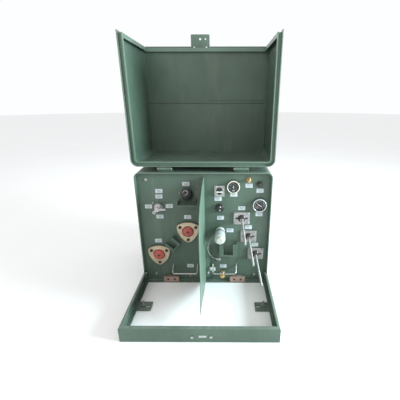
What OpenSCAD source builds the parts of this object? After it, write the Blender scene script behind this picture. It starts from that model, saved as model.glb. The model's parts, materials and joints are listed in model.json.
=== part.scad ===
// Single phase pad-mounted transformer with its clamshell hood swung fully open.
// X runs to the right, Y runs back into the tank, Z is up. The origin is on the pad,
// on the centre line, under the face of the terminal plate.

/* [Tank] */
// Width of the tank and of the sill
body_w = 812; // [806:1:820]
// Height of the tank's top above the pad
tank_h = 755; // [752:1:760]
// Depth of the tank behind the terminal plate
tank_d = 440; // [435:1:470]
// How far the front rim stands in front of the terminal plate
rim_d = 30; // [28:1:32]
// Thickness of the tank's sheet
tank_t = 3; // [2.5:0.5:3.5]
// Outer radius of the tank's top corners
tank_r = 34; // [30:1:36]
// Thickness of the terminal plate
plate_t = 6; // [5:0.5:7]

/* [Sill] */
// Height of the sill
sill_h = 88; // [86:1:88]
// Distance from the rim to the sill's front
sill_d = 489; // [484:1:490]
// Width of the sill's top shelf
shelf_w = 17; // [15:1:21]
// Width of the sill's foot flange
foot_w = 22; // [18:1:26]
// Outer radius of the sill's top edge
sill_r = 12; // [8:1:14]

/* [Hood] */
// Width of the hood
hood_w = 824; // [822:1:826]
// Height of the hood from its roof to its lower edge
hood_h = 688; // [686:1:690]
// Depth of the hood at its lower edge
hood_d = 503; // [502:1:510]
// Thickness of the hood's sheet
hood_t = 2.5; // [2:0.5:2.5]
// Outer radius of the hood's roof corners
hood_r = 40; // [38:1:42]
// How far the fold across the hood's front stands out
peak = 8; // [2:1:10]
// Height of the hinge axis above the pad
hinge_z = 778; // [777.5:0.5:779]

/* [Terminals] */
// Radius of a low voltage stud
stud_r = 6; // [5:0.5:8]
// How far a low voltage stud stands in front of the plate
stud_out = 340; // [280:5:345]
// Radius of the circle through a well clamp's three bolts
clamp_r = 57; // [54:1:60]
// Radius of a dust cap
cap_r = 33; // [30:1:34]
// Radius of the neutral bushing
neutral_r = 33; // [30:1:36]
// Hole spacing of a ground pad
pad_pitch = 44.45; // [44.45]
// Radius of a tapped ground pad hole
pad_hole_r = 5.5; // [5:0.1:6.5]

/* [Hidden] */
$fn = 64;

green = [0.33, 0.44, 0.39];
steel = [0.72, 0.73, 0.74];
zinc = [0.78, 0.70, 0.55];
black = [0.12, 0.12, 0.13];
copper = [0.72, 0.45, 0.35];
brass = [0.78, 0.62, 0.32];
red = [0.70, 0.22, 0.18];
white = [0.92, 0.93, 0.92];
brown = [0.30, 0.20, 0.16];

// Derived places
half = body_w / 2;
hood_half = hood_w / 2;
rim_y = -rim_d;
sill_y = rim_y - sill_d;
base_t = 5;
hinge_y = rim_y + 3;
hood_y = rim_y - 2;
hood_back = hood_y + hood_d;
roof_gap = 12.5;
roof_z = hinge_z + roof_gap;
hood_top = roof_z + hood_h;
fold_z = roof_z + 334;
shelf_gap = 0.5;
flange_z = 2 * hinge_z - sill_h - shelf_gap;
rivet_z = hood_top - 5.3;
slack = 0.05;

// Places on the terminal plate, as X and Z
switch_at = [-279, 534];
fuse_at = [-101, 612];
fuse_tilt = 25;
wells = [[-298, 207], [-105, 371]];
lv_sites = [[231, 459], [277, 335], [326, 210]];
neutral_at = [97, 372];
level_at = [177, 665];
temp_at = [337, 549];
relief_at = [268, 706];
plug_at = [334, 679];
drain_at = [112, 62];
voltage_at = [94, 635];
tap_at = [95, 527];
hv_stand_at = [-204, 288];
lv_stand_at = [148.5, 246.5];
pads = [[-228, 24.5], [211, 24.5]];
rod_z = 123;
rod_slope = 38.5;
rod_reach = 64;
rod_r = 4.5;
pad_out = 28;
pad_t = 9;
rods = [[-213, -52], [47, 200]];
flange_bolt_z = [60, 250];
lock_x = [-37, 58];
lock_z = 34;
rivet_x = [lock_x[0] - 40, lock_x[0] + 40];
rim_bolt_z = [36, 62];
hinges = [-223, 223];
knuckle_r = 8.5;
pin_r = 4.5;
knuckle_w = 16;
knuckle_step = 16.5;
label_size = [44, 26];
label_t = 1.2;
label_sites = [
    [-272, 634], [-274, 599], [-343, 534], [-215, 537], [-278, 467], [-107, 678], [-105, 464],
    [-300, 299], [-101, 112], [85, 585], [180, 613], [271, 669], [338, 637], [99, 460],
    [338, 484], [230, 524], [275, 396], [320, 272], [159, 373], [116, 111]];

// ---- shared shapes ----

// Extrudes a front view outline (x, z) from y0 to y1
module along_y(y0, y1) {
    translate([0, y1, 0]) rotate([90, 0, 0]) linear_extrude(y1 - y0) children();
}

// Extrudes a side view outline (y, z) from x0 to x1
module along_x(x0, x1) {
    translate([x0, 0, 0]) rotate([90, 0, 90]) linear_extrude(x1 - x0) children();
}

// Box given by its low and high corners
module block(low, high) {
    translate(low) cube(high - low);
}

// Round bar along Y at a place on the plate
module bar_y(at, r, y0, y1) {
    translate([at[0], y1, at[1]]) rotate([90, 0, 0]) cylinder(r = r, h = y1 - y0);
}

// Round bar along Z
module bar_z(x, y, r, z0, z1) {
    translate([x, y, z0]) cylinder(r = r, h = z1 - z0);
}

// Hexagon along Y
module hex_y(at, r, y0, y1) {
    translate([at[0], y1, at[1]]) rotate([90, 0, 0]) cylinder(r = r, h = y1 - y0, $fn = 6);
}

// Plate outline with round top corners
module arch(w, z0, z1, r) {
    translate([-w, z0]) square([2 * w, z1 - z0 - r]);
    translate([-w + r, z0]) square([2 * (w - r), z1 - z0]);
    for (s = [-1, 1]) translate([s * (w - r), z1 - r]) circle(r);
}

// Plate outline with round bottom corners
module cradle(w, z0, z1, r) {
    translate([-w, z0 + r]) square([2 * w, z1 - z0 - r]);
    translate([-w + r, z0]) square([2 * (w - r), z1 - z0]);
    for (s = [-1, 1]) translate([s * (w - r), z0 + r]) circle(r);
}

// Band that follows the tank's front between two insets
module tank_band(a, b, y0, y1, low = base_t) {
    along_y(y0, y1) difference() {
        arch(half - a, low, tank_h - a, tank_r - a);
        arch(half - b, low - 1, tank_h - b, tank_r - b);
    }
}

// Band that follows the hood's rim between two insets
module hood_band(a, b, y0, y1, top) {
    along_y(y0, y1) difference() {
        cradle(hood_half - a, roof_z + a, top, hood_r - a);
        cradle(hood_half - b, roof_z + b, top + 1, hood_r - b);
    }
}

// Round wire that follows a list of points
module wire(points, r) {
    for (i = [0 : len(points) - 2]) {
        step = points[i + 1] - points[i];
        flat = norm([step[0], step[1]]);
        translate(points[i]) rotate([0, atan2(flat, step[2]), atan2(step[1], step[0])])
            cylinder(r = r, h = norm(step));
    }
    if (len(points) > 2) for (i = [1 : len(points) - 2]) translate(points[i]) sphere(r + 0.2);
}

function arc(c, r, a0, a1, n) =
    [for (i = [0 : n]) [c[0] + r * cos(a0 + (a1 - a0) * i / n), c[1] + r * sin(a0 + (a1 - a0) * i / n)]];

// Bulged triangle with round corners, point down
lobe_r = 20;
side = clamp_r * sqrt(3);
function lobe_at(k) = [clamp_r * cos(120 * k - 90), clamp_r * sin(120 * k - 90)];
bulged = [for (k = [0 : 2]) each concat(
    arc(lobe_at(k), lobe_r, 120 * k - 120, 120 * k - 60, 8),
    arc(lobe_at((k + 2) % 3), side + lobe_r, 120 * k - 60, 120 * k, 10))];

// Pointer that turns about the Y axis
module pointer(reach) {
    bar_y([0, 0], 3, -18.5, -8);
    along_y(-18.5, -17.3) polygon([[-2.4, -8], [2.4, -8], [0.7, reach], [-0.7, reach]]);
}

// ---- tank ----

module tank_shell() color(green) {
    difference() {
        union() {
            tank_band(0, tank_t, 0, tank_d - tank_t);
            along_y(tank_d - tank_t, tank_d) arch(half, base_t, tank_h, tank_r);
        }
        block([-130, 150, tank_h - 10], [130, 310, tank_h + 5]);
    }
}

module base_plate() color(green) block([-half, rim_y, 0], [half, tank_d, base_t]);

module faceplate() color(green) {
    difference() {
        along_y(0, plate_t) arch(half - tank_t, base_t, tank_h - tank_t, tank_r - tank_t);
        for (w = wells) bar_y(w, 41, -1, plate_t + 1);
        bar_y(fuse_at, 32, -1, plate_t + 1);
        bar_y(switch_at, 14.2, -1, plate_t + 1);
        bar_y(level_at, 9.2, -1, plate_t + 1);
        bar_y(temp_at, 6.2, -1, plate_t + 1);
        bar_y(relief_at, 8.2, -1, plate_t + 1);
        bar_y(plug_at, 9 + slack, -1, plate_t + 1);
        bar_y(drain_at, 9.2, -1, plate_t + 1);
        bar_y(voltage_at, 6 + slack, -1, plate_t + 1);
        bar_y(tap_at, 6 + slack, -1, plate_t + 1);
        bar_y(neutral_at, 22, -1, plate_t + 1);
        for (s = lv_sites) bar_y(s, 25, -1, plate_t + 1);
    }
}

module front_rim() color(green) {
    difference() {
        union() {
            tank_band(0, tank_t, rim_y, 0);
            tank_band(tank_t, tank_t + 2.5, rim_y, rim_y + 7, 100);
        }
        for (z = rim_bolt_z) translate([-half - 1, -16, z]) rotate([0, 90, 0])
            cylinder(r = 5.2, h = body_w + 2);
    }
}

module handhole_gasket() color(black) difference() {
    block([-150, 130, tank_h], [150, 330, tank_h + 3]);
    block([-132, 148, tank_h - 1], [132, 312, tank_h + 4]);
}

cover_sites = [for (x = [-138, 0, 138]) for (y = [139, 321]) [x, y]];

module handhole_cover() color(green) block([-150, 130, tank_h + 3], [150, 330, tank_h + 7]);

module cover_bolts() color(steel) {
    for (c = cover_sites) translate([c[0], c[1], tank_h + 7]) {
        cylinder(r = 11, h = 2);
        translate([0, 0, 2]) cylinder(r = 8, h = 6, $fn = 6);
    }
}

lug_z = 640;
lug_out = 20;
lug_r = 22;
lug_hole_r = 12.5;
module lifting_lugs() color(green) {
    for (s = [-1, 1]) scale([s, 1, 1]) difference() {
        along_y(224, 236) union() {
            polygon([[half, lug_z - 62], [half + lug_out + 4, lug_z - 12],
                     [half + lug_out + 4, lug_z + 10], [half, lug_z + 33]]);
            translate([half + lug_out, lug_z]) circle(lug_r);
        }
        block([half - 30, 200, lug_z - 80], [half, 260, lug_z + 80]);
        bar_y([half + lug_out, lug_z], lug_hole_r, 220, 240);
    }
}

module hood_bumpers() color(black) {
    for (x = [-270, 270]) bar_z(x, 392, 20, tank_h, roof_z - 0.5);
}

// ---- sill ----

// Solid prism with a round top edge on its front and sides
module sill_solid(inset, r, top) {
    intersection() {
        along_y(sill_y + inset, rim_y) arch(half - inset, 0, top, r);
        along_x(-half + inset, half - inset) union() {
            translate([sill_y + inset + r, 0]) square([sill_d, top]);
            translate([sill_y + inset, 0]) square([sill_d, top - r]);
            translate([sill_y + inset + r, top - r]) circle(r);
        }
    }
}

module sill_frame() color(green) {
    difference() {
        sill_solid(0, sill_r, sill_h);
        difference() {
            sill_solid(tank_t, sill_r - tank_t, sill_h - tank_t);
            block([-half, sill_y, -1], [-half + foot_w, rim_y + 1, tank_t]);
            block([half - foot_w, sill_y, -1], [half, rim_y + 1, tank_t]);
            block([-half, sill_y, -1], [half, sill_y + foot_w, tank_t]);
        }
        block([-half + shelf_w, sill_y + shelf_w, sill_h - 10], [half - shelf_w, rim_y + 1, sill_h + 1]);
        block([-half + foot_w, sill_y + foot_w, -1], [half - foot_w, rim_y + 1, sill_h - 10]);
        block([-half + tank_t, rim_y - 20, sill_h - 8], [half - tank_t, rim_y + 1, sill_h + 1]);
        block([-4, sill_y - 1, lock_z - 8], [36, sill_y + tank_t + 1, lock_z + 8]);
        for (x = lock_x) bar_y([x, lock_z], 6 + slack, sill_y - 1, sill_y + 20);
    }
    for (s = [-1, 1]) scale([s, 1, 1]) difference() {
        block([half - tank_t - 4, -62, 22], [half - tank_t, -5, 76]);
        for (z = rim_bolt_z) translate([half - 20, -16, z]) rotate([0, 90, 0]) cylinder(r = 5.2, h = 30);
    }
    difference() {
        block([-62, sill_y + tank_t, lock_z - 16], [-12, sill_y + tank_t + 8, lock_z + 16]);
        bar_y([lock_x[0], lock_z], 6 + slack, sill_y - 1, sill_y + 20);
    }
}

cleat_y = -266;
module hold_down_cleats() color(green) {
    for (s = [-1, 1]) scale([s, 1, 1]) {
        difference() {
            block([304, cleat_y - 36, tank_t], [half - tank_t, cleat_y + 36, 9]);
            block([317, cleat_y - 7, 0], [331, cleat_y + 7, 20]);
            bar_z(317, cleat_y, 7, 0, 20);
            bar_z(331, cleat_y, 7, 0, 20);
        }
        bar_z(352, cleat_y, 6, 9, 44);
        translate([352, cleat_y, 9]) cylinder(r = 11, h = 9, $fn = 6);
    }
}

// ---- barrier between the high and low voltage sides ----

module barrier() color(green) {
    along_x(-1.5, 1.5) polygon([
        [0, 725], [-150, 695], [-280, 650], [-340, 608], [-375, 560], [-385, 486], [-387, 390],
        [-382, 256], [-400, 190], [-445, 104], [-400, 100], [-288, 73], [-151, 34], [-30, 10], [0, 10]]);
    difference() {
        block([1.5, -3, 22], [27, 0, 292]);
        for (z = flange_bolt_z) bar_y([16, z], 4.2, -5, 1);
    }
}

// ---- hinges, one pair of leaves per side ----

// Knuckles and bent leaf, rising to the knuckle or hanging from it
module hinge_leaf(up, slots, leaf_w) {
    difference() {
        union() {
            for (k = slots) {
                x0 = (k - 2) * knuckle_step - knuckle_w / 2;
                translate([x0, hinge_y, hinge_z]) rotate([0, 90, 0]) cylinder(r = knuckle_r, h = knuckle_w);
                along_x(x0, x0 + knuckle_w)
                    polygon([[hinge_y, hinge_z - up * knuckle_r], [-8, hinge_z - up * knuckle_r],
                             [-8, hinge_z - up * 4.5], [hinge_y, hinge_z - up * 4.5]]);
            }
            along_x(-leaf_w / 2, leaf_w / 2) children();
        }
        translate([-60, hinge_y, hinge_z]) rotate([0, 90, 0]) cylinder(r = pin_r + slack, h = 120);
    }
}

module hinge_tank_leaves() color(green) {
    for (x = hinges) translate([x, 0, 0]) hinge_leaf(1, [0, 2, 4], 82)
        polygon([[-8, tank_h], [45, tank_h], [45, tank_h + 4], [-4, tank_h + 4],
                 [-4, hinge_z - 4.5], [-8, hinge_z - 4.5]]);
}

module hood_hinge_leaves() color(green) {
    for (x = hinges) translate([x, 0, 0]) hinge_leaf(-1, [1, 3], 82)
        polygon([[-8, roof_z], [45, roof_z], [45, roof_z - 4], [-4, roof_z - 4],
                 [-4, hinge_z + 4.5], [-8, hinge_z + 4.5]]);
}

module hinge_pins() color(steel) {
    for (s = [-1, 1]) translate([s * hinges[1], hinge_y, hinge_z]) rotate([0, -s * 90, 0]) {
        translate([0, 0, -41]) cylinder(r = pin_r, h = 83);
        translate([0, 0, 42]) cylinder(r = 7, h = 3.5);
    }
}

// ---- high voltage side ----

module bushing_wells() color(brown) {
    for (w = wells) difference() {
        union() {
            bar_y(w, 46, -10, 0);
            bar_y(w, 40, 0, 60);
            translate([w[0], 60, w[1]]) rotate([-90, 0, 0]) cylinder(r1 = 40, r2 = 24, h = 25);
        }
        bar_y(w, 24 + slack, -11, 52);
    }
}

module well_clamps() color(zinc) {
    for (w = wells) difference() {
        translate([w[0], -10, w[1]]) rotate([90, 0, 0]) linear_extrude(8) polygon(bulged);
        bar_y(w, 37, -19, 1);
        for (k = [0 : 2]) bar_y(w + lobe_at(k), 5, -19, 1);
    }
}

module dust_cap(at) {
    color(red) difference() {
        union() {
            bar_y(at, 24, -11, 44);
            bar_y(at, cap_r, -21, -11);
            translate([at[0], -21, at[1]]) rotate([90, 0, 0]) cylinder(r1 = cap_r, r2 = cap_r - 5, h = 7);
        }
        bar_y(at, 5, -29, -16);
    }
}

module dust_cap_left() dust_cap(wells[0]);
module dust_cap_right() dust_cap(wells[1]);

// Open-topped pocket with two front rails
module pocket(w, h, depth, rail, lip) {
    block([-w / 2, -3, 0], [w / 2, 0, h]);
    for (s = [-1, 1]) scale([s, 1, 1]) {
        block([w / 2 - 3, -depth, 0], [w / 2, -3, h]);
        block([w / 2 - rail, -depth - 3, 0], [w / 2, -depth, h]);
    }
    block([-w / 2, -depth, 0], [w / 2, -3, 3]);
    block([-w / 2 + rail, -depth - 3, 0], [w / 2 - rail, -depth, lip]);
}

module hv_parking_stand() color(green) {
    translate([hv_stand_at[0], 0, hv_stand_at[1]]) rotate([0, -45, 0]) translate([0, 0, -33])
        pocket(76, 66, 34, 18, 8);
}

module lv_parking_bracket() color(green) {
    translate([lv_stand_at[0], 0, lv_stand_at[1] - 44.5]) pocket(115, 89, 32, 28, 10);
}

module drip_tray() color(green) {
    x0 = fuse_at[0] - 55;
    x1 = fuse_at[0] + 55;
    block([x0, -68, 558], [x1, 0, 560]);
    block([x0, -68, 560], [x1, -66, 567]);
    for (x = [x0, x1 - 2]) along_x(x, x + 2) polygon([[-66, 560], [0, 560], [0, 580], [-66, 567]]);
}

// Long parts that share the fuse's tilted axis, out of the tank along +Z
module on_fuse_axis() {
    translate([fuse_at[0], 0, fuse_at[1]]) rotate([90 - fuse_tilt, 0, 0]) children();
}

module fuse_housing() color(black) {
    difference() {
        union() {
            bar_y(fuse_at, 38, -7, 0);
            on_fuse_axis() translate([0, 0, -215]) cylinder(r = 26, h = 275);
            on_fuse_axis() translate([0, 0, 26]) cylinder(r = 30, h = 34);
        }
        on_fuse_axis() translate([0, 0, -205]) cylinder(r = 14 + slack, h = 300);
        on_fuse_axis() translate([0, 0, 46]) cylinder(r = 20 + slack, h = 20);
    }
}

fuse_ring_r = 13;
module fuse_holder() color(black) {
    on_fuse_axis() {
        translate([0, 0, -190]) cylinder(r = 11, h = 190);
        cylinder(r = 14, h = 46);
        translate([0, 0, 46]) cylinder(r = 20, h = 22);
        translate([0, 0, 68]) cylinder(r = 24, h = 12);
        translate([0, 0, 88]) rotate([0, 90, 0]) rotate_extrude() translate([fuse_ring_r, 0]) circle(4);
        translate([-46, -5, 70]) cube([24, 10, 7]);
    }
}

module switch_gland() color(steel) {
    difference() {
        union() {
            bar_y(switch_at, 26, -6, 0);
            bar_y(switch_at, 18, -14, -6);
            bar_y(switch_at, 14, 0, 24);
        }
        bar_y(switch_at, 9 + slack, -15, 25);
    }
    bar_y([-311, 562], 4, -12, 0);
}

module switch_handle() color(steel) {
    bar_y(switch_at, 9, -16, 38);
    translate([switch_at[0], -15, switch_at[1]]) rotate([90, 0, 0]) cylinder(r1 = 25, r2 = 17, h = 30);
    bar_y(switch_at, 14, -60, -45);
    translate([switch_at[0], 0, switch_at[1]]) {
        block([0, -56, -6], [52, -47, 6]);
        rotate([0, -135, 0]) block([-6, -56, 0], [6, -47, 24]);
        rotate([0, -135, 0]) difference() {
            bar_y([0, 27], 10, -56, -47);
            bar_y([0, 27], 4, -60, -40);
        }
    }
}

module internal_switchgear() color(brown) {
    difference() {
        block([switch_at[0] - 45, 40, switch_at[1] - 45], [switch_at[0] + 45, 115, switch_at[1] + 45]);
        bar_y(switch_at, 9 + slack, 30, 60);
    }
    for (a = [voltage_at, tap_at]) difference() {
        bar_y(a, 30, 14, 95);
        bar_y(a, 6 + slack, 10, 40);
    }
}

// ---- gauges ----

// Case with a recessed dial and room for the pointer
module gauge_case(at, r, depth) {
    difference() {
        union() {
            bar_y(at, r - 4, -depth + 8, 0);
            bar_y(at, r, -depth, -depth + 10);
        }
        bar_y(at, r - 5, -depth - 1, -depth + 9);
        bar_y(at, 3 + slack, -depth - 1, 2);
    }
}

level_r = 38;
temp_r = 41;
gauge_depth = 24;

module level_gauge_case() color(black) {
    gauge_case(level_at, level_r, gauge_depth);
    difference() {
        bar_y(level_at, 9, 0, 26);
        bar_y(level_at, 5 + slack, -1, 27);
    }
}

module temp_gauge_case() color(black) {
    gauge_case(temp_at, temp_r, gauge_depth);
    bar_y(temp_at, 6, 0, 110);
}

module gauge_lenses() color([0.8, 0.9, 0.95]) {
    bar_y(level_at, level_r - 5.2, -gauge_depth + 1, -gauge_depth + 3.5);
    bar_y(temp_at, temp_r - 5.2, -gauge_depth + 1, -gauge_depth + 3.5);
}

module level_pointer() color(white) translate([level_at[0], 0, level_at[1]]) rotate([0, -15, 0]) pointer(26);
module temp_pointer() color(white) {
    translate([temp_at[0], 0, temp_at[1]]) rotate([0, -48, 0]) pointer(29);
}

float_len = 140;
module float_arm() color(brass) {
    bar_y(level_at, 5, 4, 40);
    translate([level_at[0], 40, level_at[1]]) {
        sphere(6);
        rotate([0, 98, 0]) cylinder(r = 3, h = float_len);
        rotate([0, 98, 0]) translate([0, 0, float_len]) sphere(20);
    }
}

// ---- low voltage side ----

module relief_valve_body() color(brass) {
    hex_y(relief_at, 15, -8, 0);
    difference() {
        bar_y(relief_at, 11, -34, -8);
        bar_y(relief_at, 4 + slack, -35, -20);
    }
    bar_y(relief_at, 8, 0, 18);
}

module relief_ring() color(steel) {
    bar_y(relief_at, 4, -40, -20.5);
    translate([relief_at[0], -50, relief_at[1]]) rotate([0, 90, 0])
        rotate_extrude() translate([10, 0]) circle(1.6);
}

module drain_valve_body() color(brass) {
    hex_y(drain_at, 18, -10, 0);
    difference() {
        bar_y(drain_at, 12, -34, -10);
        bar_y(drain_at, 7 + slack, -35, -14);
    }
    bar_y(drain_at, 9, 0, 30);
}

module drain_valve_cap() color(brass) {
    bar_y(drain_at, 7, -35, -15);
    hex_y(drain_at, 16, -48, -34.3);
    bar_y(drain_at, 9, -54, -48);
}

module fill_plug() color(black) {
    bar_y(plug_at, 9, -1, 14);
    bar_y(plug_at, 18, -10, -0.3);
    block([plug_at[0] - 7, -18, plug_at[1] - 7], [plug_at[0] + 7, -10, plug_at[1] + 7]);
}

module voltage_switch_plate() color(steel) {
    difference() {
        block([voltage_at[0] - 30, -4, voltage_at[1] - 33.5], [voltage_at[0] + 30, 0, voltage_at[1] + 33.5]);
        bar_y(voltage_at, 6 + slack, -5, 1);
        for (sx = [-1, 1]) for (sz = [-1, 1]) bar_y(voltage_at + [23 * sx, 26 * sz], 2.6, -5, 1);
    }
}

module voltage_knob() color(black) {
    bar_y(voltage_at, 6, -5, 36);
    bar_y(voltage_at, 20, -20, -4.4);
    block([voltage_at[0] - 16, -25, voltage_at[1] - 4], [voltage_at[0] + 16, -20, voltage_at[1] + 4]);
}

module tap_knob() color(black) {
    bar_y(tap_at, 6, -1, 36);
    bar_y(tap_at, 27, -10, -0.4);
    bar_y(tap_at, 22, -20, -10);
}

flange_w = 50;
flange_h = 40;
module lv_bushing_flanges() color(steel) {
    for (s = lv_sites) difference() {
        block([s[0] - flange_w, -9, s[1] - flange_h], [s[0] + flange_w, 0, s[1] + flange_h]);
        bar_y(s, 24.2, -10, 1);
        block([s[0] - 38, -10, s[1] - 6], [s[0] + 38, 1, s[1] + 6]);
        for (sx = [-1, 1]) for (sz = [-1, 1]) bar_y(s + [40 * sx, 30 * sz], 4, -10, 1);
    }
}

module lv_insulators() color(brown) {
    for (s = lv_sites) difference() {
        union() {
            bar_y(s, 24, -14, 60);
            translate([s[0], -14, s[1]]) rotate([90, 0, 0]) cylinder(r1 = 24, r2 = 15, h = 14);
        }
        bar_y(s, stud_r + 1.02, -30, 62);
    }
}

module lv_studs() color(steel) {
    for (s = lv_sites) {
        bar_y(s, stud_r, -stud_out, -40);
        bar_y(s, stud_r + 1, -40, 90);
    }
}

band_y = -56;
module neutral_bushing() color(white) {
    bar_y(neutral_at, 20, 0, 70);
    bar_y(neutral_at, 27, band_y + 8, 0);
    bar_y(neutral_at, 29, band_y, band_y + 8);
    bar_y(neutral_at, neutral_r, -122, band_y);
    translate([neutral_at[0], -122, neutral_at[1]]) rotate([90, 0, 0])
        cylinder(r1 = neutral_r, r2 = 25, h = 7);
    bar_y(neutral_at, 19, -143, -129);
}

// Strap from the band on the neutral bushing down to its bolted end
strap_lug = [90, 163];
strap_route = [[63, -51, 370], [32, -50, 325], [17, -36, 262], [38, -20, 196], [76, -5, 166]];
module ground_strap() color(copper) {
    difference() {
        bar_y(neutral_at, 32, band_y + 0.5, band_y + 7.5);
        bar_y(neutral_at, 29.1, band_y - 5, band_y + 12);
    }
    wire(strap_route, 3.5);
    difference() {
        bar_y(strap_lug, 11, -4.2, -0.2);
        bar_y(strap_lug, 4.2, -6, 1);
    }
}

module ground_pads() color(copper) {
    for (p = pads) difference() {
        union() {
            block([p[0] - 50, -pad_out, p[1] - 19], [p[0] + 50, -pad_out + pad_t, p[1] + 19]);
            block([p[0] - 34, -pad_out + pad_t, p[1] - 12], [p[0] + 34, 0, p[1] + 12]);
        }
        for (s = [-1, 1]) bar_y(p + [s * pad_pitch / 2, 0], pad_hole_r, -pad_out - 1, -2);
    }
}

// Rods and their clamp hang from the plate in a plane that slopes down to the front
module on_rod_plane() {
    translate([0, 0, rod_z]) rotate([rod_slope, 0, 0]) children();
}

rod_bend = 14;
module ground_rods() color(steel) difference() {
    on_rod_plane() for (p = rods) {
        for (x = p) bar_y([x, 0], rod_r, -rod_reach + rod_bend, 10);
        translate([p[0] + rod_bend, -rod_reach, 0]) rotate([0, 90, 0])
            cylinder(r = rod_r, h = p[1] - p[0] - 2 * rod_bend);
        translate([p[0] + rod_bend, -rod_reach + rod_bend, 0]) rotate([0, 0, 180])
            rotate_extrude(angle = 90) translate([rod_bend, 0]) circle(rod_r);
        translate([p[1] - rod_bend, -rod_reach + rod_bend, 0]) rotate([0, 0, 270])
            rotate_extrude(angle = 90) translate([rod_bend, 0]) circle(rod_r);
    }
    block([-half, 0, 0], [half, 40, 300]);
}

module ground_clamp() color(white) on_rod_plane() difference() {
    union() {
        block([rods[1][0] - 18, -42, -7], [rods[1][0] + 18, -22, 7]);
        for (s = [-1, 1]) bar_z(rods[1][0] + s * 11, -32, 7, -12, 17);
    }
    bar_y([rods[1][0], 0], rod_r + slack, -60, -10);
}

module labels() color(white) {
    w = label_size[0] / 2;
    h = label_size[1] / 2;
    for (s = label_sites) block([s[0] - w, -label_t, s[1] - h], [s[0] + w, 0, s[1] + h]);
}

// A welded stud with its nut, standing on the plate
module stud_nut(at, r, nut, y_seat) {
    bar_y(at, r, y_seat - nut - 3, 0);
    difference() {
        hex_y(at, 1.9 * r, y_seat - nut, y_seat);
        bar_y(at, r - 0.5, y_seat - nut - 1, y_seat + 1);
    }
}

module face_fasteners() color(steel) {
    for (w = wells) for (k = [0 : 2]) stud_nut(w + lobe_at(k), 4.5, 7, -18);
    for (s = lv_sites) for (sx = [-1, 1]) for (sz = [-1, 1]) stud_nut(s + [40 * sx, 30 * sz], 3.5, 5, -9);
    for (sx = [-1, 1]) for (sz = [-1, 1]) stud_nut(voltage_at + [23 * sx, 26 * sz], 2.3, 3, -4);
    for (z = flange_bolt_z) stud_nut([16, z], 4, 5, -3);
    for (b = [[-344, 705], [-332, 50], [322, 47]]) stud_nut(b, 4, 6, 0);
    stud_nut(strap_lug, 4, 6, -4.2);
    bar_y([-105, 42], 8, -12, 0);
    for (s = lv_sites) difference() {
        hex_y(s, 12, -40, -28);
        bar_y(s, stud_r + 1.02, -41, -27);
    }
    for (s = [-1, 1]) scale([s, 1, 1]) for (z = rim_bolt_z) translate([0, -16, z]) rotate([0, 90, 0]) {
        translate([0, 0, half - tank_t - 12]) cylinder(r = 5, h = tank_t + 12);
        translate([0, 0, half - tank_t - 11]) cylinder(r = 9.5, h = 7, $fn = 6);
    }
    bar_y([lock_x[1], lock_z], 6, sill_y - 0.2, sill_y + 16);
    bar_y([lock_x[1], lock_z], 8, sill_y - 5, sill_y);
}

// ---- inside the tank ----

core_y = [200, 310];
module core() color([0.45, 0.46, 0.48]) difference() {
    block([-180, core_y[0], 40], [180, core_y[1], 420]);
    for (s = [-1, 1]) scale([s, 1, 1]) block([45, 190, 100], [135, 320, 360]);
}

module core_clamps() color(steel) {
    for (y = [core_y[0] - 6, core_y[1]]) {
        block([-200, y, 40], [200, y + 6, 95]);
        block([-200, y, 365], [200, y + 6, 420]);
        for (x = [-170, 130]) block([x, y, base_t], [x + 40, y + 6, 40]);
    }
}

// Rectangular winding around the middle leg
module winding(inner, outer, z0, z1) {
    mid = (core_y[0] + core_y[1]) / 2;
    difference() {
        block([-outer[0], mid - outer[1], z0], [outer[0], mid + outer[1], z1]);
        block([-inner[0], mid - inner[1], z0 - 1], [inner[0], mid + inner[1], z1 + 1]);
    }
}

module lv_coil() color(copper) winding([48, 58], [80, 90], 108, 352);
module hv_coil() color(brown) winding([84, 94], [126, 134], 114, 346);

module internal_leads() color(copper) {
    wire([[-298, 85, 207], [-298, 104, 207], [-118, 104, 207], [-118, 121, 207]], 5);
    wire([[-105, 85, 371], [-105, 104, 371], [-105, 104, 320], [-105, 121, 320]], 5);
    wire([[231, 90, 459], [231, 180, 459], [15, 180, 459], [15, 180, 352]], 5);
    wire([[277, 90, 335], [277, 180, 335], [277, 180, 440], [40, 180, 440], [40, 180, 352]], 5);
    wire([[326, 90, 210], [326, 150, 210], [326, 150, 421],
          [65, 150, 421], [65, 180, 421], [65, 180, 352]], 5);
}

// ---- hood, drawn swung open over the tank ----

// Side outline of the hood, grown inward by an inset
module hood_side(inset) {
    polygon([
        [hood_y - (inset > 0 ? 1 : 0), roof_z + inset], [hood_back - inset, roof_z + inset],
        [hood_back + peak - inset, fold_z], [hood_back - inset, hood_top + (inset > 0 ? 1 : 0)],
        [hood_y - (inset > 0 ? 1 : 0), hood_top + (inset > 0 ? 1 : 0)]]);
}

module hood_block(inset) {
    intersection() {
        along_x(-hood_half + inset, hood_half - inset) hood_side(inset);
        along_y(hood_y - 2, hood_back + peak + 1)
            cradle(hood_half - inset, roof_z + inset, hood_top + 2, hood_r - inset);
    }
}

module hood_shell() color(green) difference() {
    hood_block(0);
    hood_block(hood_t);
    for (x = rivet_x) bar_y([x, rivet_z], 3.2, hood_back - 20, hood_back + 5);
}

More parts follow.
